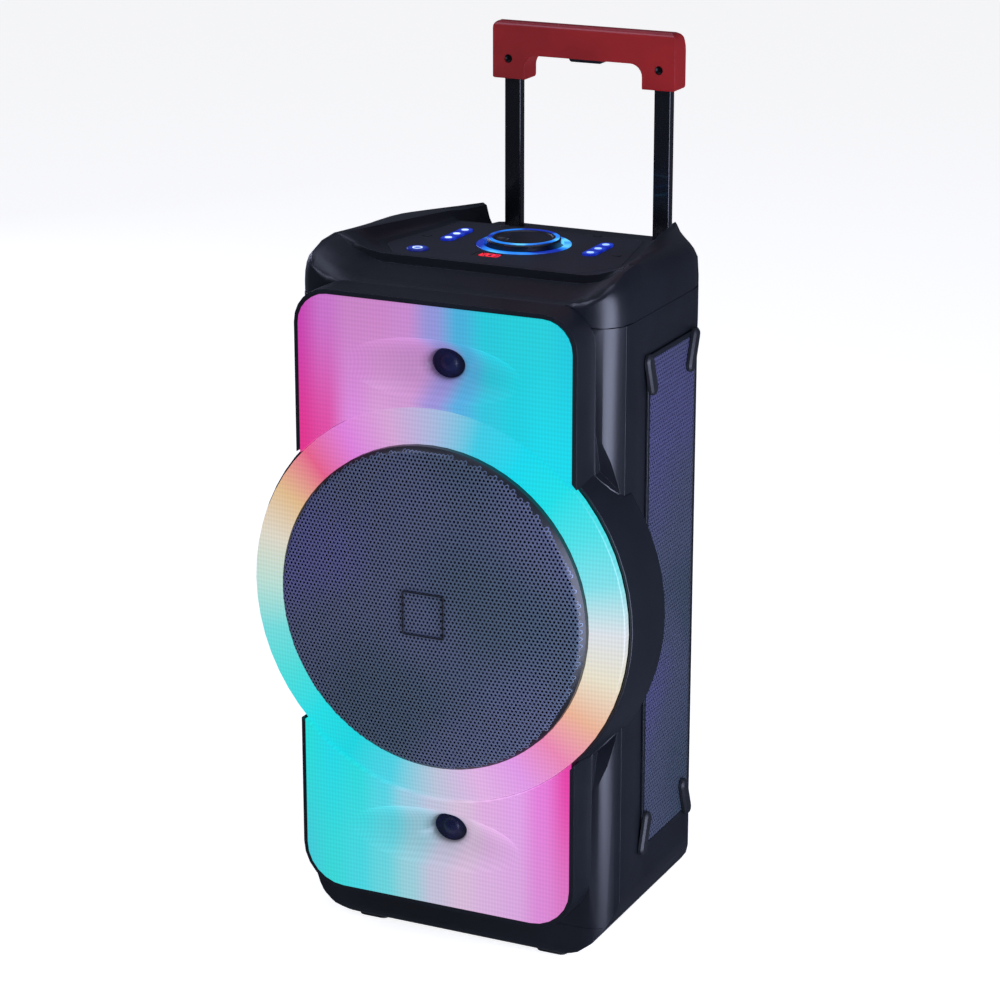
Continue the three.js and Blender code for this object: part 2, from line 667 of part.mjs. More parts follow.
function panelCorners() {
  const front = DECK_FRONT_Y + 5;
  const back = DECK_BACK_Y - 5;
  const wide = DECK_FRONT_Y + 40;
  const place = (y, margin) => deckHalfWidth(y) - margin;
  return [
    [-place(front, 4), front, 8],
    [place(front, 4), front, 8],
    [place(wide, 8), wide, 20],
    [place(back, 6), back, 8],
    [-place(back, 6), back, 8],
    [-place(wide, 8), wide, 20],
  ];
}

function topCap() {
  let cap = capForm(0, 24, 1).subtract(capForm(WALL, 6, 3));
  cap = cap.subtract(alongZ(inset(panelCorners(), -GAP), POCKET_Z, RIM_Z + 5));
  cap = cap.subtract(rodZ(5, SEAM_Z, DECK_Z, 0, DIAL_Y, 16));
  for (const { sign } of SIDES) {
    const hole = rectangle(
      TUBE_WIDTH + 2 * TUBE_CLEARANCE,
      TUBE_DEPTH + 2 * TUBE_CLEARANCE,
      0,
      sign * HANDLE_SPACING / 2,
      HANDLE_Y,
    );
    cap = cap.subtract(alongZ(hole, SEAM_Z - 1, RIM_Z));
  }
  return cap;
}

function pillCorners(grow) {
  const length = 2 * KEY_PITCH + KEY_WIDTH + 3;
  return rectangle(KEY_WIDTH + 2 * grow, length + 2 * grow, KEY_WIDTH / 2 + grow - 0.01);
}

function controlPanel() {
  let panel = alongZ(panelCorners(), POCKET_Z + GAP, DECK_Z);
  panel = panel.subtract(rodZ(DIAL_RING_OUTER + GAP, POCKET_Z, DECK_Z + 1, 0, DIAL_Y, 36));
  const [powerX, powerY] = POWER_OFFSET;
  panel = panel.subtract(rodZ(POWER_RADIUS + GAP, POCKET_Z, DECK_Z + 1, powerX, DIAL_Y + powerY));
  const window = rectangle(DISPLAY_SIZE[0], DISPLAY_SIZE[1], 2, DISPLAY_X, DISPLAY_Y);
  panel = panel.subtract(alongZ(inset(window, -GAP), POCKET_Z, DECK_Z + 1));
  for (const { sign } of SIDES) {
    const slot = pillCorners(GAP).map(([x, y, r]) => [x + sign * KEY_OFFSET_X, y + DIAL_Y + KEY_OFFSET_Y, r]);
    panel = panel.subtract(alongZ(slot, POCKET_Z, DECK_Z + 1));
  }
  return panel;
}

// ---------------------------------------------------------------- deck controls

// Knob with a shallow finger dimple, on a short shaft.
function volumeDial() {
  const bottom = POCKET_Z + GAP + 0.3;
  const top = DECK_Z + DIAL_HEIGHT;
  const profile = [
    [0, bottom - 10],
    [4, bottom - 10],
    [4, bottom],
    [DIAL_RADIUS, bottom],
    [DIAL_RADIUS, top - 1.5],
    [DIAL_RADIUS - 1.5, top],
    [DIAL_RADIUS - 7, top],
    [DIAL_RADIUS - 8, top - 0.8],
    [0, top - 0.8],
  ];
  return turnedZ(profile, 36).subtract(solid(
    new THREE.SphereGeometry(12, 12, 8).translate(-17, -12, top + 8.6),
  ));
}

function dialRing() {
  const bottom = POCKET_Z + GAP;
  const profile = [
    [DIAL_RING_INNER, bottom],
    [DIAL_RING_OUTER, bottom],
    [DIAL_RING_OUTER, DECK_Z + 0.2],
    [DIAL_RING_OUTER - 1, DECK_Z + 0.8],
    [DIAL_RING_INNER, DECK_Z + 0.8],
  ];
  return turnedZ(profile, 36);
}

function powerButton() {
  const bottom = DECK_Z + KEY_PROUD - KEY_HEIGHT;
  const profile = [
    [0, bottom],
    [POWER_RADIUS, bottom],
    [POWER_RADIUS, bottom + KEY_HEIGHT - 0.6],
    [POWER_RADIUS - 0.8, bottom + KEY_HEIGHT],
    [0, bottom + KEY_HEIGHT],
  ];
  return turnedZ(profile, 24);
}

// One key of a row of three: slot is -1, 0 or 1 from front to back.
function deckKey(slot) {
  const bottom = DECK_Z + KEY_PROUD - KEY_HEIGHT;
  const width = KEY_WIDTH - 2 * GAP;
  const pill = alongZ(pillCorners(-GAP), bottom, bottom + KEY_HEIGHT);
  const low = slot * KEY_PITCH - KEY_PITCH / 2 + GAP - (slot < 0 ? KEY_WIDTH : 0);
  const high = slot * KEY_PITCH + KEY_PITCH / 2 - GAP + (slot > 0 ? KEY_WIDTH : 0);
  return pill.intersect(block(-width, width, low, high, bottom - 1, bottom + KEY_HEIGHT + 1));
}

function displayWindow() {
  const glass = rectangle(DISPLAY_SIZE[0], DISPLAY_SIZE[1], 2);
  return alongZ(glass, POCKET_Z + GAP, DECK_Z - 0.2);
}

function controlBoard() {
  return block(-80, 80, DECK_FRONT_Y + 25, DECK_BACK_Y - 15, SEAM_Z + 9, SEAM_Z + 10.6);
}

// ---------------------------------------------------------------- front lights and drivers

function woofDrum() {
  const [front, rear] = drumOuter(0);
  const backRadius = RING_INNER_RADIUS;
  const profile = [
    [DRUM_INNER_RADIUS, DRUM_FRONT],
    front,
    rear,
    [backRadius, DRUM_REACH],
    [backRadius, DRUM_REACH - DRUM_BACK],
    [DRUM_INNER_RADIUS, DRUM_REACH - DRUM_BACK],
  ];
  const ring = turnedY(profile, 64, LENS_Y, RING_Z);
  return ring.subtract(alongZ(inset(cabinetPlan(), -GAP), 0, DECK_Z));
}

// Ring with a slightly coned face, level with the lenses at its inner edge, and an outer skirt
// that reaches back to the drum.
function ringLens() {
  const skirtRadius = RING_OUTER_RADIUS - RING_SKIRT_WALL;
  const profile = [
    [RING_INNER_RADIUS, 0],
    [RING_OUTER_RADIUS - 1, RING_SLOPE - 1],
    [RING_OUTER_RADIUS, RING_SLOPE],
    [RING_OUTER_RADIUS, RING_SLOPE + RING_SKIRT],
    [skirtRadius, RING_SLOPE + RING_SKIRT],
    [skirtRadius, RING_SLOPE + RING_THICKNESS],
    [RING_INNER_RADIUS, RING_THICKNESS],
  ];
  return turnedY(profile, 64, LENS_Y, RING_Z);
}

// Flattened horn: an ellipse at the mouth that closes to a circle at the throat.
function horn(z, wall, extraFront, extraBack) {
  const length = HORN_DEPTH + extraFront + extraBack;
  const cone = new THREE.CylinderGeometry(1, 1, length, 32, 4);
  const points = cone.attributes.position;
  for (let i = 0; i < points.count; i += 1) {
    const behind = points.getY(i) + length / 2 - extraFront;
    const t = THREE.MathUtils.clamp(behind / HORN_DEPTH, 0, 1);
    const flare = (1 - t) ** 1.5;
    const radiusX = THREE.MathUtils.lerp(THROAT_RADIUS, HORN_MOUTH_X, flare) + wall;
    const radiusZ = THREE.MathUtils.lerp(THROAT_RADIUS, HORN_MOUTH_Z, flare) + wall;
    points.setXYZ(i, points.getX(i) * radiusX, LENS_Y + behind, points.getZ(i) * radiusZ + z);
  }
  return solid(cone);
}

function lobeLens(z) {
  const upper = z > RING_Z;
  const half = LENS_HALF_WIDTH + 1;
  const keep = block(-half, half, LENS_Y - 1, FACE_Y, upper ? RING_Z : 0, upper ? LENS_TOP_Z + 1 : RING_Z);
  let lens = alongY(lensCorners(0), LENS_Y, LENS_Y + LENS_THICKNESS).intersect(keep);
  lens = lens.add(horn(z, HORN_WALL, -1, 0));
  lens = lens.subtract(rodY(DRUM_INNER_RADIUS, LENS_Y - 1, LENS_Y + LENS_THICKNESS, 0, RING_Z, 64));
  lens = lens.subtract(drumSpace(FACE_Y).intersect(block(-half, half, LENS_Y + LENS_THICKNESS, FACE_Y, 0, DECK_Z)));
  return lens.subtract(horn(z, 0, 5, 5));
}

const LED_BOARD_Y = 13;

function ringBoard() {
  const inner = RING_INNER_RADIUS + 3;
  const outer = DRUM_INNER_RADIUS - 3;
  const profile = [
    [inner, LED_BOARD_Y],
    [outer, LED_BOARD_Y],
    [outer, LED_BOARD_Y + 1.6],
    [inner, LED_BOARD_Y + 1.6],
  ];
  return turnedY(profile, 32, LENS_Y, RING_Z);
}

function lobeBoard(z) {
  const upper = z > RING_Z;
  const low = LENS_Y + LED_BOARD_Y;
  const half = LENS_HALF_WIDTH;
  const keep = block(-half, half, low - 1, low + 3, upper ? RING_Z : 0, upper ? LENS_TOP_Z : RING_Z);
  const board = alongY(lensCorners(-4), low, low + 1.6).intersect(keep);
  const clear = rodY(DRUM_REAR_RADIUS + 2, low - 1, low + 3, 0, RING_Z, 48);
  const slot = block(-62, 62, low - 1, low + 3, z - 30, z + 30);
  return board.subtract(clear).subtract(slot);
}

// Domed grille pan with a steep rim, open at the back. Depths are behind the lens faces.
function wooferGrille() {
  const radius = RING_INNER_RADIUS - GAP;
  const shoulder = radius - 8.5;
  const apex = -(GRILLE_PROUD - BADGE_THICKNESS - GAP);
  const edge = apex + 9;
  const dome = [];
  for (let k = 3; k >= 0; k -= 1) {
    const r = shoulder * k / 3;
    dome.push([r, apex + (edge - apex) * (r / shoulder) ** 2]);
  }
  const outer = [[radius, 8], [radius, -2], [radius - 3, -7], ...dome];
  const inner = outer.map(([r, y]) => [Math.max(r - (r > shoulder - 1 ? GRILLE_SHEET : 0), 0), y + GRILLE_SHEET]);
  inner[0][1] = 8;
  const profile = [...inner.reverse(), ...outer];
  return turnedY(profile, 40, LENS_Y, RING_Z);
}

function grilleBadge() {
  const front = -GRILLE_PROUD;
  const plate = rectangle(BADGE_SIZE, BADGE_SIZE, 2, 0, RING_Z);
  return alongY(plate, LENS_Y + front, LENS_Y + front + BADGE_THICKNESS);
}

// Basket and magnet, then the cone with its surround and dust cap: depths behind the face.
function wooferBasket() {
  const flange = -GAP;
  const profile = [
    [0, 95],
    [MAGNET_RADIUS, 95],
    [MAGNET_RADIUS, 66],
    [62, 66],
    [WOOFER_HOLE_RADIUS - 3, 3],
    [WOOFER_HOLE_RADIUS - 3, flange],
    [WOOFER_FLANGE_RADIUS, flange],
    [WOOFER_FLANGE_RADIUS, flange - 3.7],
    [WOOFER_HOLE_RADIUS - 5, flange - 3.7],
    [WOOFER_HOLE_RADIUS - 6, 2],
    [58, 62],
    [0, 62],
  ];
  return turnedY(profile, 32, FACE_Y, RING_Z);
}

function wooferCone() {
  const rest = -GAP - 3.7 - GAP;
  const rim = WOOFER_FLANGE_RADIUS - 1;
  const front = [
    [0, 27],
    [25, 30],
    [46, 40],
    [122, rest - 1],
    [126, rest - 6],
    [131, rest - 7.5],
    [136, rest - 6],
    [139, rest - 2],
    [rim, rest - 2],
  ];
  const back = [
    [rim, rest],
    [138, rest],
    [135, rest - 4],
    [131, rest - 5.4],
    [127, rest - 4],
    [123, rest + 2],
    [47, 43],
    [25, 32.4],
    [0, 29.2],
  ];
  return turnedY([...front, ...back], 32, FACE_Y, RING_Z);
}

function tweeter() {
  const profile = [
    [0, -8],
    [5, -7.2],
    [8, -5.6],
    [9.5, -TWEETER_FLANGE],
    [TWEETER_FLANGE_RADIUS, -TWEETER_FLANGE],
    [TWEETER_FLANGE_RADIUS, 0],
    [TWEETER_RADIUS, 0],
    [TWEETER_RADIUS, 25],
    [0, 25],
  ];
  return turnedY(profile, 24);
}

// ---------------------------------------------------------------- side panels and feet

function sideInsert(side) {
  const floor = HALF_WIDTH - PANEL_RECESS + GAP;
  const plate = extruded(insertCorners(GAP), INSERT_THICKNESS).applyMatrix4(YZ_TO_X);
  return solid(plate.translate(floor, 0, 0).scale(side, 1, 1));
}

// Capsule bumper lying on the side, rounded on its outer edge.
function sideFoot(side) {
  const height = PANEL_RECESS - INSERT_THICKNESS - 2 * GAP + SIDE_FOOT_PROUD;
  const bevel = 2;
  const width = SIDE_FOOT_WIDTH - 2 * bevel;
  const length = SIDE_FOOT_LENGTH - 2 * bevel;
  const capsule = extruded(rectangle(width, length, width / 2 - 0.01), height - bevel, {
    bevelEnabled: true,
    bevelThickness: bevel,
    bevelSize: bevel,
    bevelSegments: 1,
  });
  const body = solid(capsule.applyMatrix4(YZ_TO_X).scale(side, 1, 1));
  const reach = SIDE_FOOT_LENGTH;
  return body.intersect(block(side > 0 ? 0 : -height - 1, side > 0 ? height + 1 : 0, -reach, reach, -reach, reach));
}

function frontFoot() {
  return alongZ(rectangle(FRONT_FOOT[0], FRONT_FOOT[1], 6), 0, FOOT_HEIGHT - GAP);
}

// ---------------------------------------------------------------- wheels

function tyre() {
  const inner = HUB_RADIUS + GAP;
  const half = WHEEL_WIDTH / 2;
  const profile = [
    [inner, -half + 2],
    [WHEEL_RADIUS - 4, -half],
    [WHEEL_RADIUS, -half + 5],
    [WHEEL_RADIUS, half - 5],
    [WHEEL_RADIUS - 4, half],
    [inner, half - 2],
  ];
  return turnedX(profile, 28);
}

function hub() {
  const bore = AXLE_RADIUS + GAP;
  const half = WHEEL_WIDTH / 2;
  const profile = [
    [bore, -half],
    [bore + 4, -half],
    [HUB_RADIUS - 3, -half + 5],
    [HUB_RADIUS, -half + 1.5],
    [HUB_RADIUS, half - 1.5],
    [HUB_RADIUS - 3, half - 5],
    [bore + 4, half],
    [bore, half],
  ];
  return turnedX(profile, 20);
}

function axle() {
  const reach = WHEEL_OFFSET + WHEEL_WIDTH / 2 + HOUSING_CLEARANCE + HOUSING_WALL;
  return rodX(AXLE_RADIUS, -reach, reach, 0, 0);
}

// ---------------------------------------------------------------- handle

function tubeProfile(grow) {
  return rectangle(TUBE_WIDTH + 2 * grow, TUBE_DEPTH + 2 * grow);
}

function handleTube() {
  const outer = alongZ(tubeProfile(0), TUBE_BOTTOM_Z, TUBE_TOP_Z);
  return outer.subtract(alongZ(tubeProfile(-TUBE_WALL), TUBE_BOTTOM_Z - 1, TUBE_TOP_Z + 1));
}

// Guide tube fixed to the inside of the cabinet's back.
function handleSleeve() {
  const bottom = TUBE_BOTTOM_Z - HANDLE_STROKE - 20;
  const top = SEAM_Z - GAP;
  const back = TUBE_SETBACK - WALL - GAP;
  const side = TUBE_WIDTH / 2 + 2.7;
  const front = -TUBE_DEPTH / 2 - TUBE_CLEARANCE - 2.5;
  const outer = block(-side, side, front, back, bottom, top);
  return outer.subtract(alongZ(tubeProfile(TUBE_CLEARANCE), bottom - 1, top + 1));
}

function grip() {
  const front = -GRIP_DEPTH / 2 - GRIP_SHIFT;
  const back = front + GRIP_DEPTH;
  const section = [
    [front, GRIP_BOTTOM_Z, 2],
    [back, GRIP_BOTTOM_Z, 3],
    [back, GRIP_TOP_Z, 20],
    [front, GRIP_TOP_Z, 5],
  ];
  const half = GRIP_WIDTH / 2;
  const face = [
    [-half, GRIP_BOTTOM_Z, 2],
    [half, GRIP_BOTTOM_Z, 2],
    [half, GRIP_TOP_Z, 7],
    [-half, GRIP_TOP_Z, 7],
  ];
  const hand = half - GRIP_POST;
  const opening = [
    [-hand, GRIP_BOTTOM_Z - 20],
    [hand, GRIP_BOTTOM_Z - 20],
    [hand, BAR_BOTTOM_Z, 12],
    [-hand, BAR_BOTTOM_Z, 12],
  ];
  let body = alongX(section, -half, half).intersect(alongY(face, front - 1, back + 1));
  body = body.subtract(alongY(opening, front - 1, back + 1));
  for (const { sign } of SIDES) {
    const x = sign * HANDLE_SPACING / 2;
    const socket = tubeProfile(GAP).map(([px, py]) => [px + x, py]);
    body = body.subtract(alongZ(socket, GRIP_BOTTOM_Z - 1, TUBE_TOP_Z + GAP));
    body = body.subtract(rodY(4.2, front - 1, front + 4, x, GRIP_BOTTOM_Z + 19, 16));
  }
  const pocket = rectangle(BUTTON_LENGTH + 2 * GAP, BUTTON_DEPTH + 2 * GAP, 0, 0, -GRIP_SHIFT);
  return body.subtract(alongZ(pocket, BAR_BOTTOM_Z - 1, BAR_BOTTOM_Z + 12));
}

function releaseButton() {
  const low = BAR_BOTTOM_Z - BUTTON_PROUD;
  const high = BAR_BOTTOM_Z + 7;
  const half = BUTTON_LENGTH / 2;
  const face = [[-half, low, 3], [half, low, 3], [half, high], [-half, high]];
  return alongY(face, -BUTTON_DEPTH / 2 - GRIP_SHIFT, BUTTON_DEPTH / 2 - GRIP_SHIFT);
}

// ---------------------------------------------------------------- rear panel and electronics

const MIC_Z = REAR_PANEL_Z + 60;
const MIC_OFFSET = 26;
const ROCKER_Z = REAR_PANEL_Z - 15;
const INLET_Z = REAR_PANEL_Z - 60;

function rearPanel() {
  const back = BACK_Y - GAP;
  const plate = rectangle(REAR_PANEL[0], REAR_PANEL[1], 6, 0, REAR_PANEL_Z);
  let panel = alongY(plate, back - REAR_PANEL_THICKNESS, back);
  for (const { sign } of SIDES) {
    panel = panel.subtract(rodY(MIC_RADIUS + GAP, back - 10, BACK_Y + 1, sign * MIC_OFFSET, MIC_Z));
  }
  const rocker = rectangle(ROCKER_SIZE[0] + 1, ROCKER_SIZE[1] + 2, 0, 0, ROCKER_Z);
  const inlet = rectangle(INLET_SIZE[0] + 2 * GAP, INLET_SIZE[1] + 2 * GAP, 3, 0, INLET_Z);
  panel = panel.subtract(alongY(rocker, back - 10, BACK_Y + 1));
  return panel.subtract(alongY(inlet, back - 10, BACK_Y + 1));
}

// Microphone jack with a blind bore. The origin is at the middle of its mouth.
function micSocket() {
  const profile = [
    [0, -24],
    [MIC_RADIUS, -24],
    [MIC_RADIUS, 0],
    [JACK_RADIUS + 1, 0],
    [JACK_RADIUS, -1],
    [JACK_RADIUS, -18],
    [0, -18],
  ];
  return turnedY(profile, 20);
}

function chargeInlet() {
  const outer = alongY(rectangle(INLET_SIZE[0], INLET_SIZE[1], 3), -20, 0);
  const hollow = rectangle(INLET_SIZE[0] - 2 * INLET_WALL, INLET_SIZE[1] - 2 * INLET_WALL, 1.5);
  return outer.subtract(alongY(hollow, -16, 1));
}

// Rocker cap whose face is a shallow V. The origin is on its pivot.
function powerRocker() {
  const half = ROCKER_SIZE[1] / 2;
  const face = [[-4, -half], [5.2, -half, 1], [4.2, 0], [5.2, half, 1], [-4, half]];
  return alongX(face, -ROCKER_SIZE[0] / 2, ROCKER_SIZE[0] / 2);
}

// Flared port tube, flush with the cabinet's back.
function bassPort() {
  const outer = PORT_RADIUS + PORT_WALL;
  const flange = outer + PORT_FLARE;
  const profile = [
    [PORT_RADIUS, -PORT_LENGTH],
    [outer, -PORT_LENGTH],
    [outer, -WALL],
    [flange, -WALL],
    [flange, 0],
    [PORT_RADIUS + 7, 0],
    [PORT_RADIUS + 2.2, -3],
    [PORT_RADIUS, -9],
  ];
  return turnedY(profile, 28, BACK_Y - GAP, PORT_Z);
}

function amplifierBoard() {
  const low = REAR_PANEL_Z - 80;
  const board = block(-60, 60, 0, 2, low, low + 150);
  const sink = block(-50, 50, -24, 0.5, low + 20, low + 70);
  const supply = block(-50, 30, -30, 0.5, low + 85, low + 135);
  return board.add(sink).add(supply);
}

function batteryPack() {
  const low = FOOT_HEIGHT + BASE_FLOOR + GAP;
  return alongZ(rectangle(150, 70, 6), low, low + 65);
}

// ---------------------------------------------------------------- assembly

const speaker = new THREE.Group();

function place(parent, name, body, material, x = 0, y = 0, z = 0) {
  const mesh = new THREE.Mesh(geometryOf(body), material);
  mesh.name = name;
  mesh.position.set(x, y, z);
  parent.add(mesh);
  return mesh;
}

function addCabinet() {
  place(speaker, 'front_shell', frontShell(), blackPlastic);
  place(speaker, 'rear_shell', rearShell(), blackPlastic);
  place(speaker, 'base_tray', baseTray(), blackPlastic);
  place(speaker, 'top_cap', topCap(), blackPlastic);
  place(speaker, 'control_panel', controlPanel(), deckPlastic);
}

function addFront() {
  place(speaker, 'woofer_drum', woofDrum(), blackPlastic);
  place(speaker, 'ring_light_lens', ringLens(), lightLens);
  place(speaker, 'ring_led_board', ringBoard(), circuitBoard);
  place(speaker, 'woofer_grille', wooferGrille(), perforatedSteel);
  place(speaker, 'grille_badge', grilleBadge(), blackPlastic);
  place(speaker, 'woofer_basket', wooferBasket(), castMetal);
  place(speaker, 'woofer_cone', wooferCone(), paperCone);
  for (const { name, z } of TWEETERS) {
    place(speaker, `${name}_light_lens`, lobeLens(z), lightLens);
    place(speaker, `${name}_led_board`, lobeBoard(z), circuitBoard);
    place(speaker, `${name}_tweeter`, tweeter(), paperCone, 0, FACE_Y - GAP, z);
  }
}

function addSides() {
  const insert = insertCorners(0);
  const front = insert[0][0];
  const back = insert[1][0];
  const low = insert[0][1] + 19;
  const high = insert[2][1] - 17;
  for (const { name, sign } of SIDES) {
    place(speaker, `side_grille_${name}`, sideInsert(sign), perforatedSteel);
    for (const [row, z, up] of [['upper', high, 1], ['lower', low, -1]]) {
      for (const [end, y, lean] of [['front', front + 1, 1], ['rear', back - 14, -1]]) {
        const x = sign * (HALF_WIDTH - PANEL_RECESS + INSERT_THICKNESS + 2 * GAP);
        const foot = place(speaker, `side_foot_${name}_${row}_${end}`, sideFoot(sign), softRubber, x, y, z);
        foot.rotation.x = up * lean * SIDE_FOOT_TILT;
      }
    }
  }
}

function addDeckControls() {
  const controls = new THREE.Group();
  controls.position.set(0, DIAL_Y, 0);
  speaker.add(controls);
  place(controls, 'volume_dial', volumeDial(), deckPlastic);
  place(controls, 'dial_light_ring', dialRing(), blueLight);
  place(controls, 'power_button', powerButton(), blueLight, ...POWER_OFFSET);
  place(controls, 'display_window', displayWindow(), redDisplay, DISPLAY_X, DISPLAY_Y - DIAL_Y);
  for (const { name, sign } of SIDES) {
    for (const [seat, slot] of [['front', -1], ['middle', 0], ['rear', 1]]) {
      place(controls, `key_${name}_${seat}`, deckKey(slot), blueLight, sign * KEY_OFFSET_X, KEY_OFFSET_Y);
    }
  }
  place(speaker, 'control_board', controlBoard(), circuitBoard);
}

function addHandle() {
  const handle = new THREE.Group();
  handle.position.set(0, HANDLE_Y, 0);
  speaker.add(handle);
  for (const { name, sign } of SIDES) {
    const x = sign * HANDLE_SPACING / 2;
    place(handle, `handle_sleeve_${name}`, handleSleeve(), castMetal, x);
    place(handle, `handle_tube_${name}`, handleTube(), tubeSteel, x);
  }
  place(handle, 'handle_grip', grip(), redPlastic);
  place(handle, 'release_button', releaseButton(), blackPlastic);
}

function addWheels() {
  const axleLine = new THREE.Group();
  axleLine.position.set(0, BACK_Y - WHEEL_SETBACK, WHEEL_RADIUS);
  speaker.add(axleLine);
  place(axleLine, 'wheel_axle', axle(), steelRod);
  const footY = FACE_Y + 20 + FRONT_FOOT[1] / 2 - 8;
  for (const { name, sign } of SIDES) {
    place(axleLine, `wheel_hub_${name}`, hub(), blackPlastic, sign * WHEEL_OFFSET);
    place(axleLine, `wheel_tyre_${name}`, tyre(), softRubber, sign * WHEEL_OFFSET);
    place(speaker, `front_foot_${name}`, frontFoot(), softRubber, sign * FRONT_FOOT_OFFSET, footY);
  }
}

function addRear() {
  const back = BACK_Y - GAP;
  place(speaker, 'rear_io_panel', rearPanel(), deckPlastic);
  place(speaker, 'bass_port', bassPort(), blackPlastic);
  place(speaker, 'charge_inlet', chargeInlet(), blackPlastic, 0, back, INLET_Z);
  const rocker = place(speaker, 'power_rocker', powerRocker(), softRubber, 0, back - 6.5, ROCKER_Z);
  rocker.rotation.x = ROCKER_TILT;
  for (const { name, sign } of SIDES) {
    place(speaker, `mic_socket_${name}`, micSocket(), softRubber, sign * MIC_OFFSET, back, MIC_Z);
  }
  place(speaker, 'amplifier_board', amplifierBoard(), circuitBoard, 0, BACK_Y - 57);
  place(speaker, 'battery_pack', batteryPack(), batteryWrap, 0, FACE_Y + 140);
}

addCabinet();
addFront();
addSides();
addDeckControls();
addHandle();
addWheels();
addRear();

export default speaker;
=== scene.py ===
"""Trolley party speaker with lit front panels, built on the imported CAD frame."""
import json
from math import cos, pi, radians, sin, sqrt

import bmesh
import bpy
from bpy.props import FloatProperty, FloatVectorProperty, PointerProperty
from mathutils import Matrix, Vector

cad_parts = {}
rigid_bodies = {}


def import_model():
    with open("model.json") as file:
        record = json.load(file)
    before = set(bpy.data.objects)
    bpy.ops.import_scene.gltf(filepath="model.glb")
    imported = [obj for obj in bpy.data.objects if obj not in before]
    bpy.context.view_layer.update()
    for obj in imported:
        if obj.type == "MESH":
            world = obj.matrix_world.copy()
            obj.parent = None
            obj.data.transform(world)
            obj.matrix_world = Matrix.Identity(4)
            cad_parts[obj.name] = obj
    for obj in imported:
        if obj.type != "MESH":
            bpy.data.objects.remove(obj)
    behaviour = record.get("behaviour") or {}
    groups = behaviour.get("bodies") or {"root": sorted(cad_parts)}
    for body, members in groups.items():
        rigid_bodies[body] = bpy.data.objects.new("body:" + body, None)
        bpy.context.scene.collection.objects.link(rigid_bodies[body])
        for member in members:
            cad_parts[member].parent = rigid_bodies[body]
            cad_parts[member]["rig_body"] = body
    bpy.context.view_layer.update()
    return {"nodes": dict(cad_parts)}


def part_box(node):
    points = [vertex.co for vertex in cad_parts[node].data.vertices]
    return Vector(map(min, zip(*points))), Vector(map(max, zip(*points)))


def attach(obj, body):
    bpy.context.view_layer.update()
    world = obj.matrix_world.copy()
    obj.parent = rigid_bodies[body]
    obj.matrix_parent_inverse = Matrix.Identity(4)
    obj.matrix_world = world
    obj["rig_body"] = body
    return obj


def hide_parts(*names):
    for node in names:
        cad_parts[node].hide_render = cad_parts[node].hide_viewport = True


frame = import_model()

bl_info = {
    "name": "Trolley party speaker",
    "version": (1, 0, 0),
    "blender": (4, 5, 0),
    "location": "View3D > Sidebar > Speaker",
    "description": "Builds the visible surfaces and materials of a trolley party speaker",
    "category": "Object",
}

MM = 0.001
SIDES = (("left", -1), ("right", 1))

X, Y, Z = Vector((1, 0, 0)), Vector((0, 1, 0)), Vector((0, 0, 1))
FACING_FRONT = Matrix.Rotation(pi / 2, 4, "X")   # a flat shape drawn in XY, turned to face -Y
FACING_BACK = Matrix.Rotation(pi, 4, "Z") @ FACING_FRONT


def corners(node):
    """The low and the high corner of a CAD node's box."""
    return [Vector(corner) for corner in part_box(node)]


def middle(node):
    """The middle of a CAD node's box."""
    low, high = corners(node)
    return (low + high) / 2


def linear(code):
    """An sRGB hex colour as linear RGBA."""
    channels = [int(code[i:i + 2], 16) / 255 for i in (1, 3, 5)]
    return (*[c / 12.92 if c <= 0.04045 else ((c + 0.055) / 1.055) ** 2.4 for c in channels], 1.0)


# ------------------------------------------------------------------ settings

class SPEAKER_PG_details(bpy.types.PropertyGroup):
    """Sizes of the fine detail that is only in the visible surface."""
    grille_pitch: FloatProperty(
        name="Grille hole spacing", description="Distance between holes in the woofer's grille",
        default=3.8 * MM, unit="LENGTH")
    grille_hole: FloatProperty(
        name="Grille hole", description="Width of a hole in the woofer's grille",
        default=2.3 * MM, unit="LENGTH")
    panel_pitch: FloatProperty(
        name="Side hole spacing", description="Distance between holes in the side panels",
        default=4.3 * MM, unit="LENGTH")
    panel_hole: FloatProperty(
        name="Side hole", description="Width of a hole in the side panels",
        default=2.5 * MM, unit="LENGTH")
    softness: FloatProperty(
        name="Edge radius", description="Radius on the edges of moulded pieces",
        default=0.9 * MM, unit="LENGTH")


class SPEAKER_PG_finishes(bpy.types.PropertyGroup):
    """Colours and light levels that a user would change."""
    body: FloatVectorProperty(
        name="Body", description="Colour of the moulded cabinet",
        default=linear("#0e1218"), size=4, subtype="COLOR", min=0, max=1)
    deck: FloatVectorProperty(
        name="Deck", description="Colour of the control deck",
        default=linear("#171c22"), size=4, subtype="COLOR", min=0, max=1)
    grip: FloatVectorProperty(
        name="Grip", description="Colour of the handle's grip",
        default=linear("#8a1517"), size=4, subtype="COLOR", min=0, max=1)
    grille: FloatVectorProperty(
        name="Grille", description="Paint on the perforated steel",
        default=linear("#5c647c"), size=4, subtype="COLOR", min=0, max=1)
    light_level: FloatProperty(
        name="Light level", description="Brightness of the lit front panels",
        default=1.0, min=0, max=10)
    key_level: FloatProperty(
        name="Key light level", description="Brightness of the dial, keys and display",
        default=1.3, min=0, max=10)


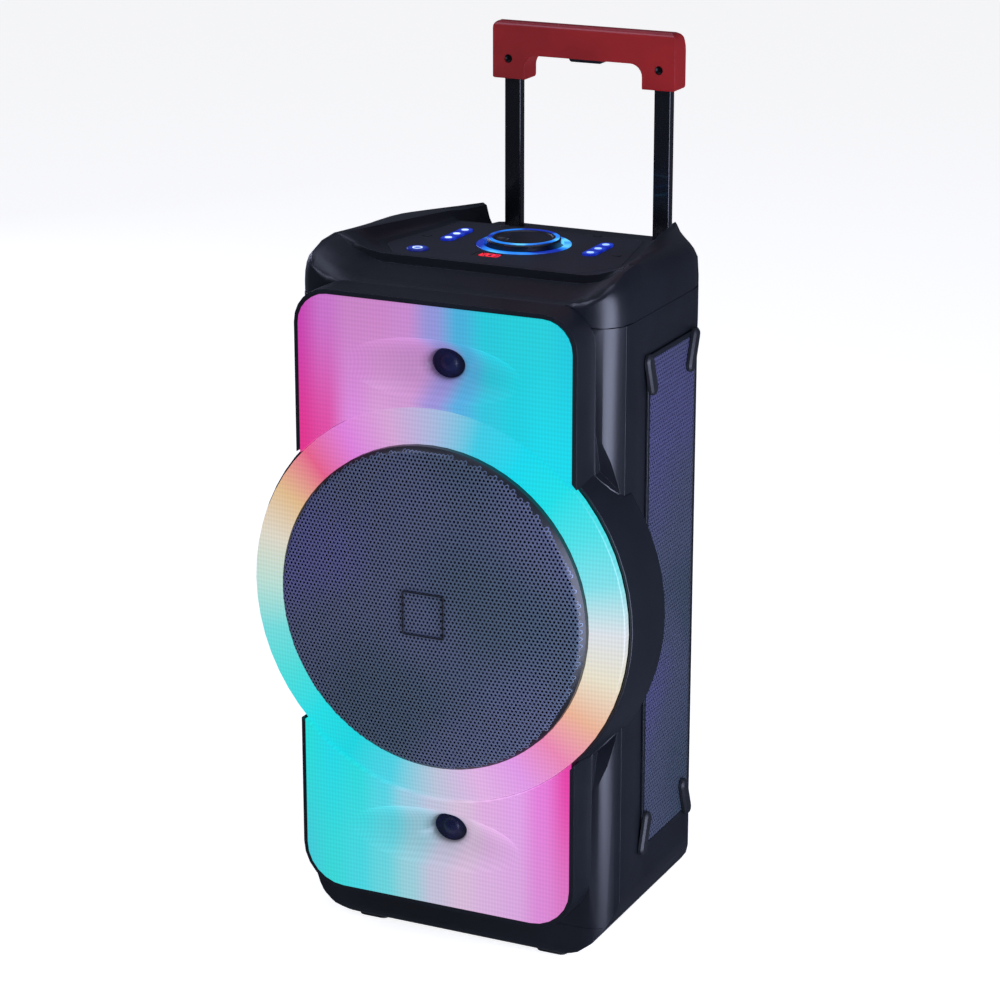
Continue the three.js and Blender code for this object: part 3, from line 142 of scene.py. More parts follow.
class SPEAKER_PG_studio(bpy.types.PropertyGroup):
    """Camera and lighting."""
    azimuth: FloatProperty(
        name="Azimuth", description="Camera's turn to the right of straight in front",
        default=radians(25.53), subtype="ANGLE")
    elevation: FloatProperty(
        name="Elevation", description="Camera's angle above level",
        default=radians(17.47), subtype="ANGLE")
    distance: FloatProperty(
        name="Distance", description="From the camera to the point it is aimed at",
        default=2.77023, unit="LENGTH")
    focal_length: FloatProperty(
        name="Focal length", description="Camera's focal length on a 36 mm sensor, in millimetres",
        default=114.98, min=1)
    floor_colour: FloatVectorProperty(
        name="Floor", description="Colour of the studio floor",
        default=linear("#fdfdfd"), size=4, subtype="COLOR", min=0, max=1)


# ------------------------------------------------------------------ materials

def add(tree, kind, inputs=None, **settings):
    """Adds a node with its settings; an input is a value or the socket that feeds it."""
    node = tree.nodes.new(kind)
    for name, value in settings.items():
        setattr(node, name, value)
    for name, value in (inputs or {}).items():
        if isinstance(value, bpy.types.NodeSocket):
            tree.links.new(value, node.inputs[name])
        else:
            node.inputs[name].default_value = value
    return node


def ramp(tree, factor, stops, interpolation="EASE"):
    """A colour ramp with stops of (position, colour)."""
    node = add(tree, "ShaderNodeValToRGB", {"Fac": factor})
    node.color_ramp.interpolation = interpolation
    elements = node.color_ramp.elements
    for element, (position, colour) in zip(elements, (stops[0], stops[-1])):
        element.position = position
        element.color = colour
    for position, colour in stops[1:-1]:
        elements.new(position).color = colour
    return node.outputs["Color"]


def spread(codes):
    """Hex colours as evenly spaced stops of a colour ramp."""
    return [(i / (len(codes) - 1), linear(code)) for i, code in enumerate(codes)]


def scaled(colour, factor):
    """A colour made lighter or darker."""
    return (*[min(channel * factor, 1.0) for channel in colour[:3]], 1.0)


def new_tree(name):
    """An empty node material and its Object coordinates."""
    finish = bpy.data.materials.new(name)
    finish.use_nodes = True
    finish.node_tree.nodes.clear()
    place = add(finish.node_tree, "ShaderNodeTexCoord").outputs["Object"]
    return finish, finish.node_tree, place


def close_tree(tree, shader):
    add(tree, "ShaderNodeOutputMaterial", {"Surface": shader.outputs["BSDF"]})


def moulded(name, colour, roughness, grain, relief, variation=0.12, **shader_inputs):
    """A surface with a real grain size and relief in metres, slightly uneven colour and gloss."""
    finish, tree, place = new_tree(name)
    grains = add(tree, "ShaderNodeTexNoise", {"Vector": place, "Scale": 1 / grain, "Detail": 2.0})
    clouds = add(tree, "ShaderNodeTexNoise", {"Vector": place, "Scale": 22.0, "Detail": 4.0})
    tint = ramp(tree, clouds.outputs["Fac"], (
        (0.3, scaled(colour, 1 - variation)),
        (0.7, scaled(colour, 1 + variation)),
    ))
    gloss = add(tree, "ShaderNodeMapRange", {
        "Value": grains.outputs["Fac"], "From Min": 0.3, "From Max": 0.7,
        "To Min": roughness - 0.05, "To Max": roughness + 0.06,
    })
    bump = add(tree, "ShaderNodeBump", {
        "Height": grains.outputs["Fac"], "Strength": 0.6, "Distance": relief,
    })
    inputs = {
        "Base Color": tint, "Roughness": gloss.outputs["Result"], "Normal": bump.outputs["Normal"],
        "IOR": 1.5, **shader_inputs,
    }
    close_tree(tree, add(tree, "ShaderNodeBsdfPrincipled", inputs))
    return finish


def body_abs(finishes):
    """Black ABS moulded against a spark-eroded tool: a fine even grain with a soft sheen."""
    return moulded("black_abs", finishes.body, 0.38, 0.9 * MM, 0.05 * MM)


def deck_abs(finishes):
    """Dark grey ABS with a coarser texture than the cabinet, so it looks flatter."""
    return moulded("textured_deck_abs", finishes.deck, 0.5, 1.3 * MM, 0.12 * MM, 0.2)


def grip_nylon(finishes):
    """Dark red moulded nylon: smooth with a faint grain, so it has a satin shine."""
    return moulded("red_nylon", finishes.grip, 0.36, 1.2 * MM, 0.03 * MM, 0.1)


def coated_steel():
    """Drawn steel tube under black powder coat: dark with sharp long highlights."""
    return moulded("black_coated_steel", linear("#0b0d10"), 0.26, 0.8 * MM, 0.02 * MM, 0.1,
                   **{"Coat Weight": 0.3})


def soft_rubber():
    """Moulded rubber: very dark and dull."""
    return moulded("moulded_rubber", linear("#14171b"), 0.5, 1.0 * MM, 0.06 * MM)


def dark_metal():
    """Pressed and cast driver parts under dark paint."""
    return moulded("painted_cast_metal", linear("#2a2c30"), 0.45, 1.5 * MM, 0.08 * MM, 0.1,
                   Metallic=0.7)


def cone_pulp():
    """Paper pulp cone with a thin dark coating: fibrous and dull."""
    return moulded("coated_paper_pulp", linear("#15161a"), 0.85, 2.5 * MM, 0.2 * MM, 0.25)


def board_fibreglass():
    """Circuit board: green solder mask over woven glass."""
    return moulded("solder_mask", linear("#1c5a30"), 0.4, 1.2 * MM, 0.04 * MM, 0.3)


def battery_wrap():
    """Heat-shrink wrap round the cells: thin smooth plastic film."""
    return moulded("heat_shrink_film", linear("#24507a"), 0.3, 6 * MM, 0.2 * MM, 0.15)


def bright_steel():
    """Bright drawn axle steel."""
    return moulded("drawn_steel", linear("#b5b8bc"), 0.25, 0.7 * MM, 0.01 * MM, 0.05, Metallic=1.0)


def tweeter_silk():
    """Coated silk dome and plate behind the horn: deep blue-black and slightly glossy."""
    return moulded("coated_silk", linear("#0c1238"), 0.35, 0.8 * MM, 0.03 * MM, 0.3)


def screw_steel():
    """Black oxide screw head."""
    return moulded("black_oxide_steel", linear("#0a0a0b"), 0.4, 0.6 * MM, 0.02 * MM, 0.1,
                   Metallic=0.6)


def grille_paint(finishes, name, depth):
    """Perforated steel sheet under satin paint, with a slow wander between violet and slate that is
    painted reflection of the lit panels.
    """
    finish, tree, place = new_tree(name)
    led_reflection_drift = add(tree, "ShaderNodeTexNoise", {"Vector": place, "Scale": 5.0, "Detail": 1.0})
    speckle = add(tree, "ShaderNodeTexNoise", {"Vector": place, "Scale": 1 / (1.1 * MM)})
    # depth below 1 darkens the same paint: painted shade for a sheet that lies in shade
    base = scaled(finishes.grille, depth)
    slate = (base[0] * 0.7, base[1] * 0.85, base[2] * 0.75, 1.0)
    violet = (base[0] * 1.15, base[1] * 0.98, base[2] * 1.35, 1.0)
    # violet and slate tints: painted reflection of the coloured lights on the steel
    tint = ramp(tree, led_reflection_drift.outputs["Fac"], ((0.35, slate), (0.5, tuple(base)), (0.65, violet)))
    bump = add(tree, "ShaderNodeBump", {
        "Height": speckle.outputs["Fac"], "Strength": 0.5, "Distance": 0.04 * MM,
    })
    close_tree(tree, add(tree, "ShaderNodeBsdfPrincipled", {
        "Base Color": tint, "Roughness": 0.42, "Metallic": 0.35, "Normal": bump.outputs["Normal"],
    }))
    return finish


def light_table(colour):
    """Opal acrylic table lit from below: almost white, with only a faint shadow."""
    finish, tree, _ = new_tree("opal_acrylic_table")
    close_tree(tree, add(tree, "ShaderNodeBsdfPrincipled", {
        "Base Color": scaled(colour, 0.5), "Roughness": 0.9, "IOR": 1.49,
        "Emission Color": tuple(colour), "Emission Strength": 0.88,
    }))
    return finish


def light_grid(tree, place):
    """Brightness of the fine ribs on the lit diffusers: 3 mm apart across and 4 mm upwards."""
    ribs = []
    for direction, spacing in (("X", 3 * MM), ("Z", 4 * MM)):
        # a wave texture of scale 1 repeats every pi / 10
        ribs.append(add(tree, "ShaderNodeTexWave", {"Vector": place, "Scale": pi / 10 / spacing},
                        wave_type="BANDS", bands_direction=direction))
    both = add(tree, "ShaderNodeMath", operation="ADD")
    for socket, rib in zip(both.inputs, ribs):
        tree.links.new(rib.outputs["Fac"], socket)
    return add(tree, "ShaderNodeMapRange", {
        "Value": both.outputs["Value"], "From Min": 0.0, "From Max": 2.0,
        "To Min": 0.9, "To Max": 1.06,
    }).outputs["Result"]


def lit(tree, colour, shade, level):
    """Closes a tree with a frosted diffuser that glows in a colour, dimmed by a shade."""
    glow = add(tree, "ShaderNodeVectorMath", operation="SCALE")
    tree.links.new(colour, glow.inputs[0])
    tree.links.new(shade, glow.inputs["Scale"])
    close_tree(tree, add(tree, "ShaderNodeBsdfPrincipled", {
        "Base Color": linear("#141118"), "Roughness": 0.35, "IOR": 1.49,
        "Emission Color": glow.outputs["Vector"], "Emission Strength": level,
    }))


def ring_diffuser(finishes):
    """Frosted acrylic ring lit by a colour wheel of diodes: hue follows the angle."""
    finish, tree, place = new_tree("frosted_acrylic_ring")
    centre = middle("ring_light_lens")
    split = add(tree, "ShaderNodeSeparateXYZ", {"Vector": place})
    height = add(tree, "ShaderNodeMath", {0: split.outputs["Z"], 1: centre.z}, operation="SUBTRACT")
    angle = add(tree, "ShaderNodeMath", {0: split.outputs["X"], 1: height.outputs["Value"]},
                operation="ARCTAN2")
    turn = add(tree, "ShaderNodeMapRange", {
        "Value": angle.outputs["Value"], "From Min": -pi, "From Max": pi,
    })
    wheel = ("#b9c3d8", "#4dd0e2", "#12d4df", "#1cdce4", "#4adbda", "#72dadb", "#b9ddd3", "#dcd6c6",
             "#e0bb8c", "#e4608a", "#dc80dc", "#d5a4d5", "#a8b8dc", "#3acae3", "#00d8ec", "#0fdee6",
             "#4cdfe6", "#80dfe8", "#dae0e6", "#e6dfc8", "#eab394", "#e986b4", "#df98e6", "#dfb1e2",
             "#b9c3d8")
    colour = ramp(tree, turn.outputs["Result"], spread(wheel), "LINEAR")
    lit(tree, colour, light_grid(tree, place), finishes.light_level)
    return finish


def panel_diffuser(name, node, far_row, near_row, finishes):
    """Frosted acrylic panel: one row of colours far from the ring, another next to it."""
    finish, tree, place = new_tree(name)
    low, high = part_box(node)
    ring_z = middle("ring_light_lens").z
    far_z, near_z = (high[2], low[2]) if high[2] > ring_z else (low[2], high[2])
    split = add(tree, "ShaderNodeSeparateXYZ", {"Vector": place})
    across = add(tree, "ShaderNodeMapRange", {
        "Value": split.outputs["X"], "From Min": low[0], "From Max": high[0],
    }).outputs["Result"]
    towards = add(tree, "ShaderNodeMapRange", {
        "Value": split.outputs["Z"], "From Min": far_z, "From Max": near_z,
    }, interpolation_type="SMOOTHSTEP").outputs["Result"]
    rows = []
    for row in (far_row, near_row):
        rows.append(ramp(tree, across, spread(row)))
    blend = add(tree, "ShaderNodeMix", data_type="RGBA")
    tree.links.new(towards, blend.inputs["Factor"])
    tree.links.new(rows[0], blend.inputs["A"])
    tree.links.new(rows[1], blend.inputs["B"])
    # the glow is painted darker towards the horn's throat: painted shade in the recess
    depth = add(tree, "ShaderNodeMapRange", {
        "Value": split.outputs["Y"], "From Min": low[1], "From Max": high[1],
    }).outputs["Result"]
    painted_throat_shade = ramp(tree, depth, (
        (0.0, (1, 1, 1, 1)), (0.7, (0.85, 0.85, 0.85, 1)), (1.0, (0.2, 0.2, 0.2, 1)),
    ))
    shade = add(tree, "ShaderNodeMath", {0: painted_throat_shade, 1: light_grid(tree, place)}, operation="MULTIPLY")
    lit(tree, blend.outputs["Result"], shade.outputs["Value"], finishes.light_level)
    return finish


def glowing(name, edge, core, centre, radius, level):
    """Translucent acrylic over a diode: bright in the middle and deeper towards its edge."""
    finish, tree, place = new_tree(name)
    offset = add(tree, "ShaderNodeVectorMath", {0: place, 1: centre}, operation="DISTANCE")
    fall = add(tree, "ShaderNodeMapRange", {
        "Value": offset.outputs["Value"], "From Min": 0.0, "From Max": radius,
    }).outputs["Result"]
    colour = ramp(tree, fall, ((0.0, linear(core)), (1.0, linear(edge))))
    close_tree(tree, add(tree, "ShaderNodeBsdfPrincipled", {
        "Base Color": linear("#0b1020"), "Roughness": 0.3, "IOR": 1.49,
        "Emission Color": colour, "Emission Strength": level,
    }))
    return finish


def dial_light(finishes):
    """Clear acrylic light guide round the dial: brighter and darker arcs of blue."""
    finish, tree, place = new_tree("blue_light_guide")
    patches = add(tree, "ShaderNodeTexNoise", {"Vector": place, "Scale": 26.0, "Detail": 1.0})
    colour = ramp(tree, patches.outputs["Fac"], (
        (0.36, linear("#0a2a9c")), (0.5, linear("#1f7be6")), (0.62, linear("#5cc4ff")),
    ))
    close_tree(tree, add(tree, "ShaderNodeBsdfPrincipled", {
        "Base Color": linear("#0b1020"), "Roughness": 0.2, "IOR": 1.49,
        "Emission Color": colour, "Emission Strength": finishes.key_level,
    }))
    return finish


# ------------------------------------------------------------------ meshes

def settle(bm, name, body, finish, replaced=(), soften=0.0, corner=35.0):
    """Turns a bmesh into a finished piece that rides on a body."""
    for face in bm.faces:
        face.smooth = True
    for edge in bm.edges:
        if len(edge.link_faces) == 2:
            edge.smooth = edge.calc_face_angle() < radians(corner)
    mesh = bpy.data.meshes.new(name)
    bm.to_mesh(mesh)
    bm.free()
    piece = bpy.data.objects.new(name, mesh)
    bpy.context.scene.collection.objects.link(piece)
    mesh.materials.append(finish)
    if soften > 0:
        bevel = piece.modifiers.new("softened edges", "BEVEL")
        bevel.width = soften
        bevel.segments = 2
        bevel.limit_method = "ANGLE"
        bevel.angle_limit = radians(corner)
        bevel.harden_normals = True
    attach(piece, body)
    if replaced:
        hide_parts(*replaced)


def refined(node, finish, soften, corner=35.0):
    """A merged copy of a CAD node with smooth curved faces and softened edges."""
    source = frame["nodes"][node]
    bm = bmesh.new()
    bm.from_mesh(source.data)
    bmesh.ops.remove_doubles(bm, verts=bm.verts, dist=0.01 * MM)
    bmesh.ops.dissolve_limit(bm, angle_limit=radians(0.5), verts=bm.verts, edges=bm.edges)
    settle(bm, f"{node}_surface", source["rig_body"], finish, (node,), soften,
           corner)


def placed(bm, matrix):
    """A bmesh moved and turned to its place."""
    bmesh.ops.transform(bm, matrix=matrix, verts=bm.verts)
    bm.normal_update()
    return bm


def join(bm, part, matrix):
    """Adds one bmesh, moved to its place, to another and frees it."""
    mesh = bpy.data.meshes.new("part")
    placed(part, matrix).to_mesh(mesh)
    part.free()
    bm.from_mesh(mesh)
    bpy.data.meshes.remove(mesh)


def turned(profile, centre, axis, steps):
    """A closed profile of (radius, distance along the axis), spun once round it."""
    bm = bmesh.new()
    side = X if axis != X else Z
    verts = [bm.verts.new(centre + side * radius + axis * along) for radius, along in profile]
    loop = list(zip(verts, verts[1:]))
    if profile[0][0] > 0 or profile[-1][0] > 0:
        loop.append((verts[-1], verts[0]))
    edges = [bm.edges.new(pair) for pair in loop]
    bmesh.ops.spin(bm, geom=verts + edges, cent=centre, axis=axis, angle=2 * pi, steps=steps,
                   use_merge=True)
    bmesh.ops.remove_doubles(bm, verts=bm.verts, dist=1e-6)
    bmesh.ops.recalc_face_normals(bm, faces=bm.faces)
    return bm


def rounded(width, height, radius, arc=5):
    """A flat rectangle in XY with round corners."""
    bm = bmesh.new()
    bmesh.ops.create_grid(bm, x_segments=1, y_segments=1, size=0.5)
    bmesh.ops.scale(bm, vec=(width, height, 1), verts=bm.verts)
    bmesh.ops.bevel(bm, geom=bm.verts[:], offset=radius, affect="VERTICES", segments=arc,
                    profile=0.5, material=-1)
    return bm


def raise_faces(bm, depth):
    """Thickens flat faces in XY upwards by a depth into a closed body."""
    flat = bm.faces[:]
    raised = bmesh.ops.extrude_face_region(bm, geom=flat, use_keep_orig=True)
    tops = [item for item in raised["geom"] if isinstance(item, bmesh.types.BMVert)]
    bmesh.ops.translate(bm, vec=(0, 0, depth), verts=tops)
    bmesh.ops.recalc_face_normals(bm, faces=bm.faces)
    return bm


def plate(width, height, radius, depth, arc=5):
    return raise_faces(rounded(width, height, radius, arc), depth)


def band(width, height, radius, border, depth, arc=6):
    """A flat rounded rectangular frame."""
    bm = rounded(width, height, radius, arc)
    centre = bm.faces[:]
    bmesh.ops.inset_region(bm, faces=centre, thickness=border, use_even_offset=True,
                           use_boundary=True)
    bmesh.ops.delete(bm, geom=centre, context="FACES")
    return raise_faces(bm, depth)


def disc(radius, depth, steps=32):
    bm = bmesh.new()
    bmesh.ops.create_circle(bm, cap_ends=True, radius=radius, segments=steps)
    return raise_faces(bm, depth)


def perforated(half_width, half_height, pitch, hole, keep):
    """A flat sheet facing -Y, made of hexagonal cells with a hole in each, where keep(x, z)."""
    bm = bmesh.new()
    step = pitch * sqrt(3) / 2
    rows = int(half_height / step)
    columns = int(half_width / pitch)
    for row in range(-rows, rows + 1):
        for column in range(-columns, columns + 1):
            x = (column + row % 2 / 2) * pitch
            z = row * step
            if keep(x, z):
                bmesh.ops.create_circle(bm, cap_ends=True, radius=pitch / sqrt(3), segments=6,
                                        matrix=Matrix.Translation((x, 0, z)) @ FACING_FRONT)
    cells = bm.faces[:]
    bmesh.ops.inset_individual(bm, faces=cells, thickness=(pitch - hole) / 2,
                               use_even_offset=True)
    bmesh.ops.delete(bm, geom=cells, context="FACES")
    bmesh.ops.remove_doubles(bm, verts=bm.verts, dist=pitch / 20)
    return bm


# ------------------------------------------------------------------ pieces

class SpeakerOperator(bpy.types.Operator):
    """Shared settings of the operators that build a piece."""
    bl_options = {"REGISTER", "UNDO"}

    @property
    def details(self):
        return bpy.context.scene.speaker_details

    @property
    def finishes(self):
        return bpy.context.scene.speaker_finishes


class SPEAKER_OT_cabinet(SpeakerOperator):
    """Cabinet shells, base and woofer drum in black ABS"""
    bl_idname = "speaker.cabinet"
    bl_label = "Cabinet"

    def execute(self, context):
        finish = body_abs(self.finishes)
        for node in ("front_shell", "rear_shell", "base_tray", "woofer_drum"):
            refined(node, finish, self.details.softness)
        refined("top_cap", finish, self.details.softness, 50.0)
        return {"FINISHED"}


class SPEAKER_OT_lights(SpeakerOperator):
    """Light ring and the two light panels"""
    bl_idname = "speaker.lights"
    bl_label = "Front lights"

    def execute(self, context):
        finishes = self.finishes
        soften = self.details.softness
        refined("ring_light_lens", ring_diffuser(finishes), soften)
        upper = panel_diffuser(
            "frosted_acrylic_upper", "upper_light_lens",
            ("#c541b1", "#c772c9", "#c883c5", "#c984c7", "#c788cd", "#9194d8", "#44afda", "#1cc8d9",
             "#1accd9", "#1ccdda", "#10c8dd"),
            ("#e0308c", "#e0469f", "#dc8be0", "#daa3da", "#d3a0d4", "#a091d9", "#59b0e5", "#2fc6df",
             "#0cd0e2", "#02d9eb", "#02d9eb"),
            finishes)
        refined("upper_light_lens", upper, soften)
        lower = panel_diffuser(
            "frosted_acrylic_lower", "lower_light_lens",
            ("#3fc9d8", "#35d6d6", "#44d4df", "#66d2db", "#97cdd8", "#c4bfd8", "#d6bad8", "#d7b0dd",
             "#d7a7dd", "#da8ad5", "#d977c4"),
            ("#1fdbd9", "#18d8e6", "#1cd9db", "#45d3e6", "#a0c7e2", "#bec3db", "#d4bed8", "#e0a8e0",
             "#e1a0e8", "#e57bda", "#e63ea6"),
            finishes)
        refined("lower_light_lens", lower, soften)
        return {"FINISHED"}


class SPEAKER_OT_woofer(SpeakerOperator):
    """Perforated dome grille, its emblem outline, and the woofer behind it"""
    bl_idname = "speaker.woofer"
    bl_label = "Woofer"

    def execute(self, context):
        low, high = corners("woofer_grille")
        centre = Vector((0, low.y, (low.z + high.z) / 2))
        radius = (high.x - low.x) / 2
        shoulder = radius - 8.5 * MM   # where the dome rolls over into its edge
        fall = 9 * MM                  # from the dome's top to the shoulder
        roll = 8 * MM                  # from the shoulder to the edge
        sheet = 0.9 * MM
        rim_width = 1.6 * MM
        pitch = self.details.grille_pitch
        edge = radius - 1.5 * MM

        def depth(reach):
            if reach < shoulder:
                return fall * (reach / shoulder) ** 2
            slope = min((reach - shoulder) / (radius - shoulder), 1.0)
            return fall + roll * (1 - sqrt(max(1 - slope * slope, 0.0)))

        bm = perforated(radius, radius * 1.05, pitch, self.details.grille_hole,
                        lambda x, z: x * x + z * z < (edge - pitch * 0.45) ** 2)
        for vert in bm.verts:
            reach = sqrt(vert.co.x ** 2 + vert.co.z ** 2)
            vert.co.y = depth(reach)
        bmesh.ops.recalc_face_normals(bm, faces=bm.faces)
        if bm.faces[0].normal.y > 0:
            bmesh.ops.reverse_faces(bm, faces=bm.faces)
        bmesh.ops.solidify(bm, geom=bm.faces[:], thickness=sheet)
        bmesh.ops.translate(bm, vec=centre, verts=bm.verts)
        bmesh.ops.recalc_face_normals(bm, faces=bm.faces)
        finish = grille_paint(self.finishes, "painted_woofer_grille", 1.0)
        settle(bm, "woofer_grille_dome", "cabinet", finish, ("woofer_grille",))

        rim = depth(edge - 3 * MM) + 0.3 * MM
        back = high.y - low.y
        profile = (
            (edge - 3.4 * MM, rim), (edge - rim_width, rim + 1.2 * MM), (radius, rim + 5 * MM),
            (radius, back), (radius - rim_width, back), (radius - rim_width, rim + 6 * MM),
            (edge - 3.4 * MM, rim + 2.4 * MM),
        )
        plastic = body_abs(self.finishes)
        settle(turned(profile, centre, Y, 96), "woofer_grille_rim", "cabinet", plastic)

        badge_low, badge_high = corners("grille_badge")
        size = badge_high.x - badge_low.x
        raised = 1.4 * MM
        place = Matrix.Translation((0, badge_low.y + raised, centre.z)) @ FACING_FRONT
        emblem = placed(band(size, size, 2 * MM, 1.5 * MM, raised), place)
        settle(emblem, "grille_emblem_outline", "cabinet", plastic,
               ("grille_badge",), 0.3 * MM)

        refined("woofer_cone", cone_pulp(), 0.0, 60.0)
        refined("woofer_basket", dark_metal(), 0.0)
        silk = tweeter_silk()
        for node in ("upper_tweeter", "lower_tweeter"):
            refined(node, silk, 0.0, 50.0)
        return {"FINISHED"}


class SPEAKER_OT_sides(SpeakerOperator):
    """Perforated side panels with their frames, and the rubber feet on them"""
    bl_idname = "speaker.sides"
    bl_label = "Side panels"

    def execute(self, context):
        # the side panels take the grille paint at 0.6: painted shade on the sides
        finish = grille_paint(self.finishes, "painted_side_panel", 0.6)
        plastic = body_abs(self.finishes)
        rubber = soft_rubber()
        pitch = self.details.panel_pitch
        rim_depth = 2 * MM
        for side, sign in SIDES:
            node = f"side_grille_{side}"
            low, high = corners(node)
            centre = (low + high) / 2
            width, height = high.y - low.y, high.z - low.z
            outer = high.x if sign > 0 else low.x
            turn = Matrix.Rotation(sign * pi / 2, 4, "Z")
            half_width, half_height = width / 2 - pitch * 0.6, height / 2 - pitch * 0.6
            sheet = perforated(width / 2, height / 2, pitch, self.details.panel_hole,
                               lambda x, z: abs(x) < half_width and abs(z) < half_height)
            bmesh.ops.solidify(sheet, geom=sheet.faces[:], thickness=1.2 * MM)
            face = outer - sign * 0.5 * MM
            placed(sheet, Matrix.Translation((face, centre.y, centre.z)) @ turn)
            bmesh.ops.recalc_face_normals(sheet, faces=sheet.faces)
            settle(sheet, f"side_panel_sheet_{side}", "cabinet", finish, (node,))
            inner = Matrix.Translation((outer - sign * rim_depth, centre.y, centre.z))
            rim = placed(band(width, height, 8 * MM, 4.5 * MM, rim_depth),
                         inner @ turn @ FACING_FRONT)
            settle(rim, f"side_panel_rim_{side}", "cabinet", plastic, (), 0.4 * MM)
            for row in ("upper", "lower"):
                for end in ("front", "rear"):
                    refined(f"side_foot_{side}_{row}_{end}", rubber, 0.9 * MM)
        return {"FINISHED"}


class SPEAKER_OT_handle(SpeakerOperator):
    """Telescopic tubes, red grip with its screws, and the release bar"""
    bl_idname = "speaker.handle"
    bl_label = "Handle"

    def execute(self, context):
        steel = coated_steel()
        for side, _ in SIDES:
            refined(f"handle_tube_{side}", steel, 1.2 * MM)
        refined("handle_grip", grip_nylon(self.finishes), 1.6 * MM, 30.0)
        refined("release_button", body_abs(self.finishes), 0.8 * MM)
        metal = screw_steel()
        grip_low = corners("handle_grip")[0]
        sunk, raised = 3.6 * MM, 19 * MM   # head's seat behind the grip's front and above its foot
        for side, _ in SIDES:
            tube = middle(f"handle_tube_{side}")
            head = disc(3.9 * MM, 2.4 * MM)
            top = max(head.faces, key=lambda face: face.calc_center_median().z)
            bmesh.ops.inset_region(head, faces=[top], thickness=1.8 * MM)
            bmesh.ops.translate(head, vec=(0, 0, -1.4 * MM), verts=top.verts)
            bmesh.ops.recalc_face_normals(head, faces=head.faces)
            seat = Matrix.Translation((tube.x, grip_low.y + sunk, grip_low.z + raised))
            settle(placed(head, seat @ FACING_FRONT), f"grip_screw_{side}", "handle", metal,
                   (), 0.3 * MM)
        return {"FINISHED"}


SEGMENTS = {
    "0": "abcdef", "1": "bc", "2": "abged", "3": "abgcd", "4": "fgbc",
    "5": "afgcd", "6": "afgedc", "7": "abc", "8": "abcdefg", "9": "abcdfg",
}
SHOWN_NUMBER = "1208"
PLUG_PLACES = ((-95, -7), (95, -7), (-47, 59), (47, 59))   # millimetres from the dial's axis


def digit(symbol, height):
    """One seven-segment digit, lying in XY and centred."""
    bm = bmesh.new()
    width = height * 0.55
    bar = height * 0.13
    cut = 0.92   # leaves a gap between one bar and the next
    half, side = height / 2, width / 2
    places = {
        "a": (0, half, width, bar), "g": (0, 0, width, bar), "d": (0, -half, width, bar),
        "f": (-side, half / 2, bar, half), "b": (side, half / 2, bar, half),
        "e": (-side, -half / 2, bar, half), "c": (side, -half / 2, bar, half),
    }
    for name in SEGMENTS[symbol]:
        x, y, across, tall = places[name]
        segment = plate(across * cut, tall * cut, bar * 0.3, 0.3 * MM, 2)
        join(bm, segment, Matrix.Translation((x, y, 0)))
    return bm


class SPEAKER_OT_deck(SpeakerOperator):
    """Control deck: panel, dial with its light rings, keys, power key, display and plugs"""
    bl_idname = "speaker.deck"
    bl_label = "Control deck"

    def execute(self, context):
        finishes = self.finishes
        level = finishes.key_level
        deck = deck_abs(finishes)
        soften = self.details.softness
        refined("control_panel", deck, 0.5 * MM)
        refined("volume_dial", body_abs(finishes), 0.5 * MM)
        guide = dial_light(finishes)
        refined("dial_light_ring", guide, 0.3 * MM)
        low, high = corners("volume_dial")
        top = Vector(((low.x + high.x) / 2, (low.y + high.y) / 2, high.z))
        radius = (high.x - low.x) / 2
        inner, outer = radius - 5 * MM, radius - 1.2 * MM
        sunk = -0.6 * MM
        profile = (
            (inner, sunk), (inner, 0.2 * MM), (radius - 4.4 * MM, 0.5 * MM),
            (radius - 1.8 * MM, 0.5 * MM), (outer, 0.1 * MM), (outer, sunk),
        )
        settle(turned(profile, top, Z, 72), "dial_top_light", "dial", guide)

        power = middle("power_button")
        shine = glowing("blue_power_key", "#0a1878", "#2f5cf0", power, 11 * MM, level * 0.7)
        refined("power_button", shine, 0.3 * MM)
        power_top = corners("power_button")[1].z
        mark_depth = 0.25 * MM
        inner, outer = 3.6 * MM, 4.6 * MM
        ring = turned(((inner, 0), (outer, 0), (outer, mark_depth), (inner, mark_depth)),
                      Vector((power.x, power.y, power_top)), Z, 32)
        dots = glowing("white_key_mark", "#5aa2ff", "#d8ecff", power, 0.3, level)
        settle(ring, "power_mark", "power_key", dots)

        for side, _ in SIDES:
            for seat in ("front", "middle", "rear"):
                node = f"key_{side}_{seat}"
                centre = middle(node)
                shine = glowing(f"blue_{node}", "#0a1ea0", "#2b5cf2", centre, 9 * MM, level * 0.8)
                refined(node, shine, 0.4 * MM)
                top = Vector((centre.x, centre.y, corners(node)[1].z))
                mark = placed(disc(3.3 * MM, mark_depth, 24), Matrix.Translation(top))
                settle(mark, f"{node}_mark", f"{node}_body", dots)

        self.display(level)
        self.plugs()
        return {"FINISHED"}

    def display(self, level):
        """Lit red digits on a dark window."""
        centre = middle("display_window")
        surface = corners("display_window")[1].z
        window = moulded("smoked_acrylic", linear("#1a0508"), 0.12, 2 * MM, 0.01 * MM)
        refined("display_window", window, 0.2 * MM)
        red = glowing("red_diode_segments", "#c41022", "#ff3040", centre, 20 * MM, level)
        digits = bmesh.new()
        pitch = 5.9 * MM
        for place, symbol in enumerate(SHOWN_NUMBER):
            x = centre.x + (place - 1.5) * pitch
            join(digits, digit(symbol, 9 * MM), Matrix.Translation((x, centre.y, surface)))
        settle(digits, "display_digits", "cabinet", red)

    def plugs(self):
        """Oval caps over the deck's screws."""
        rubber = soft_rubber()
        surface = corners("control_panel")[1].z
        dial = middle("volume_dial")
        for number, (x, y) in enumerate(PLUG_PLACES):
            place = Matrix.Translation((x * MM, dial.y + y * MM, surface - 0.4 * MM))
            cap = placed(plate(9 * MM, 7 * MM, 3.4 * MM, 1.0 * MM), place)
            settle(cap, f"deck_plug_{number + 1}", "cabinet", rubber,
                   (), 0.3 * MM)


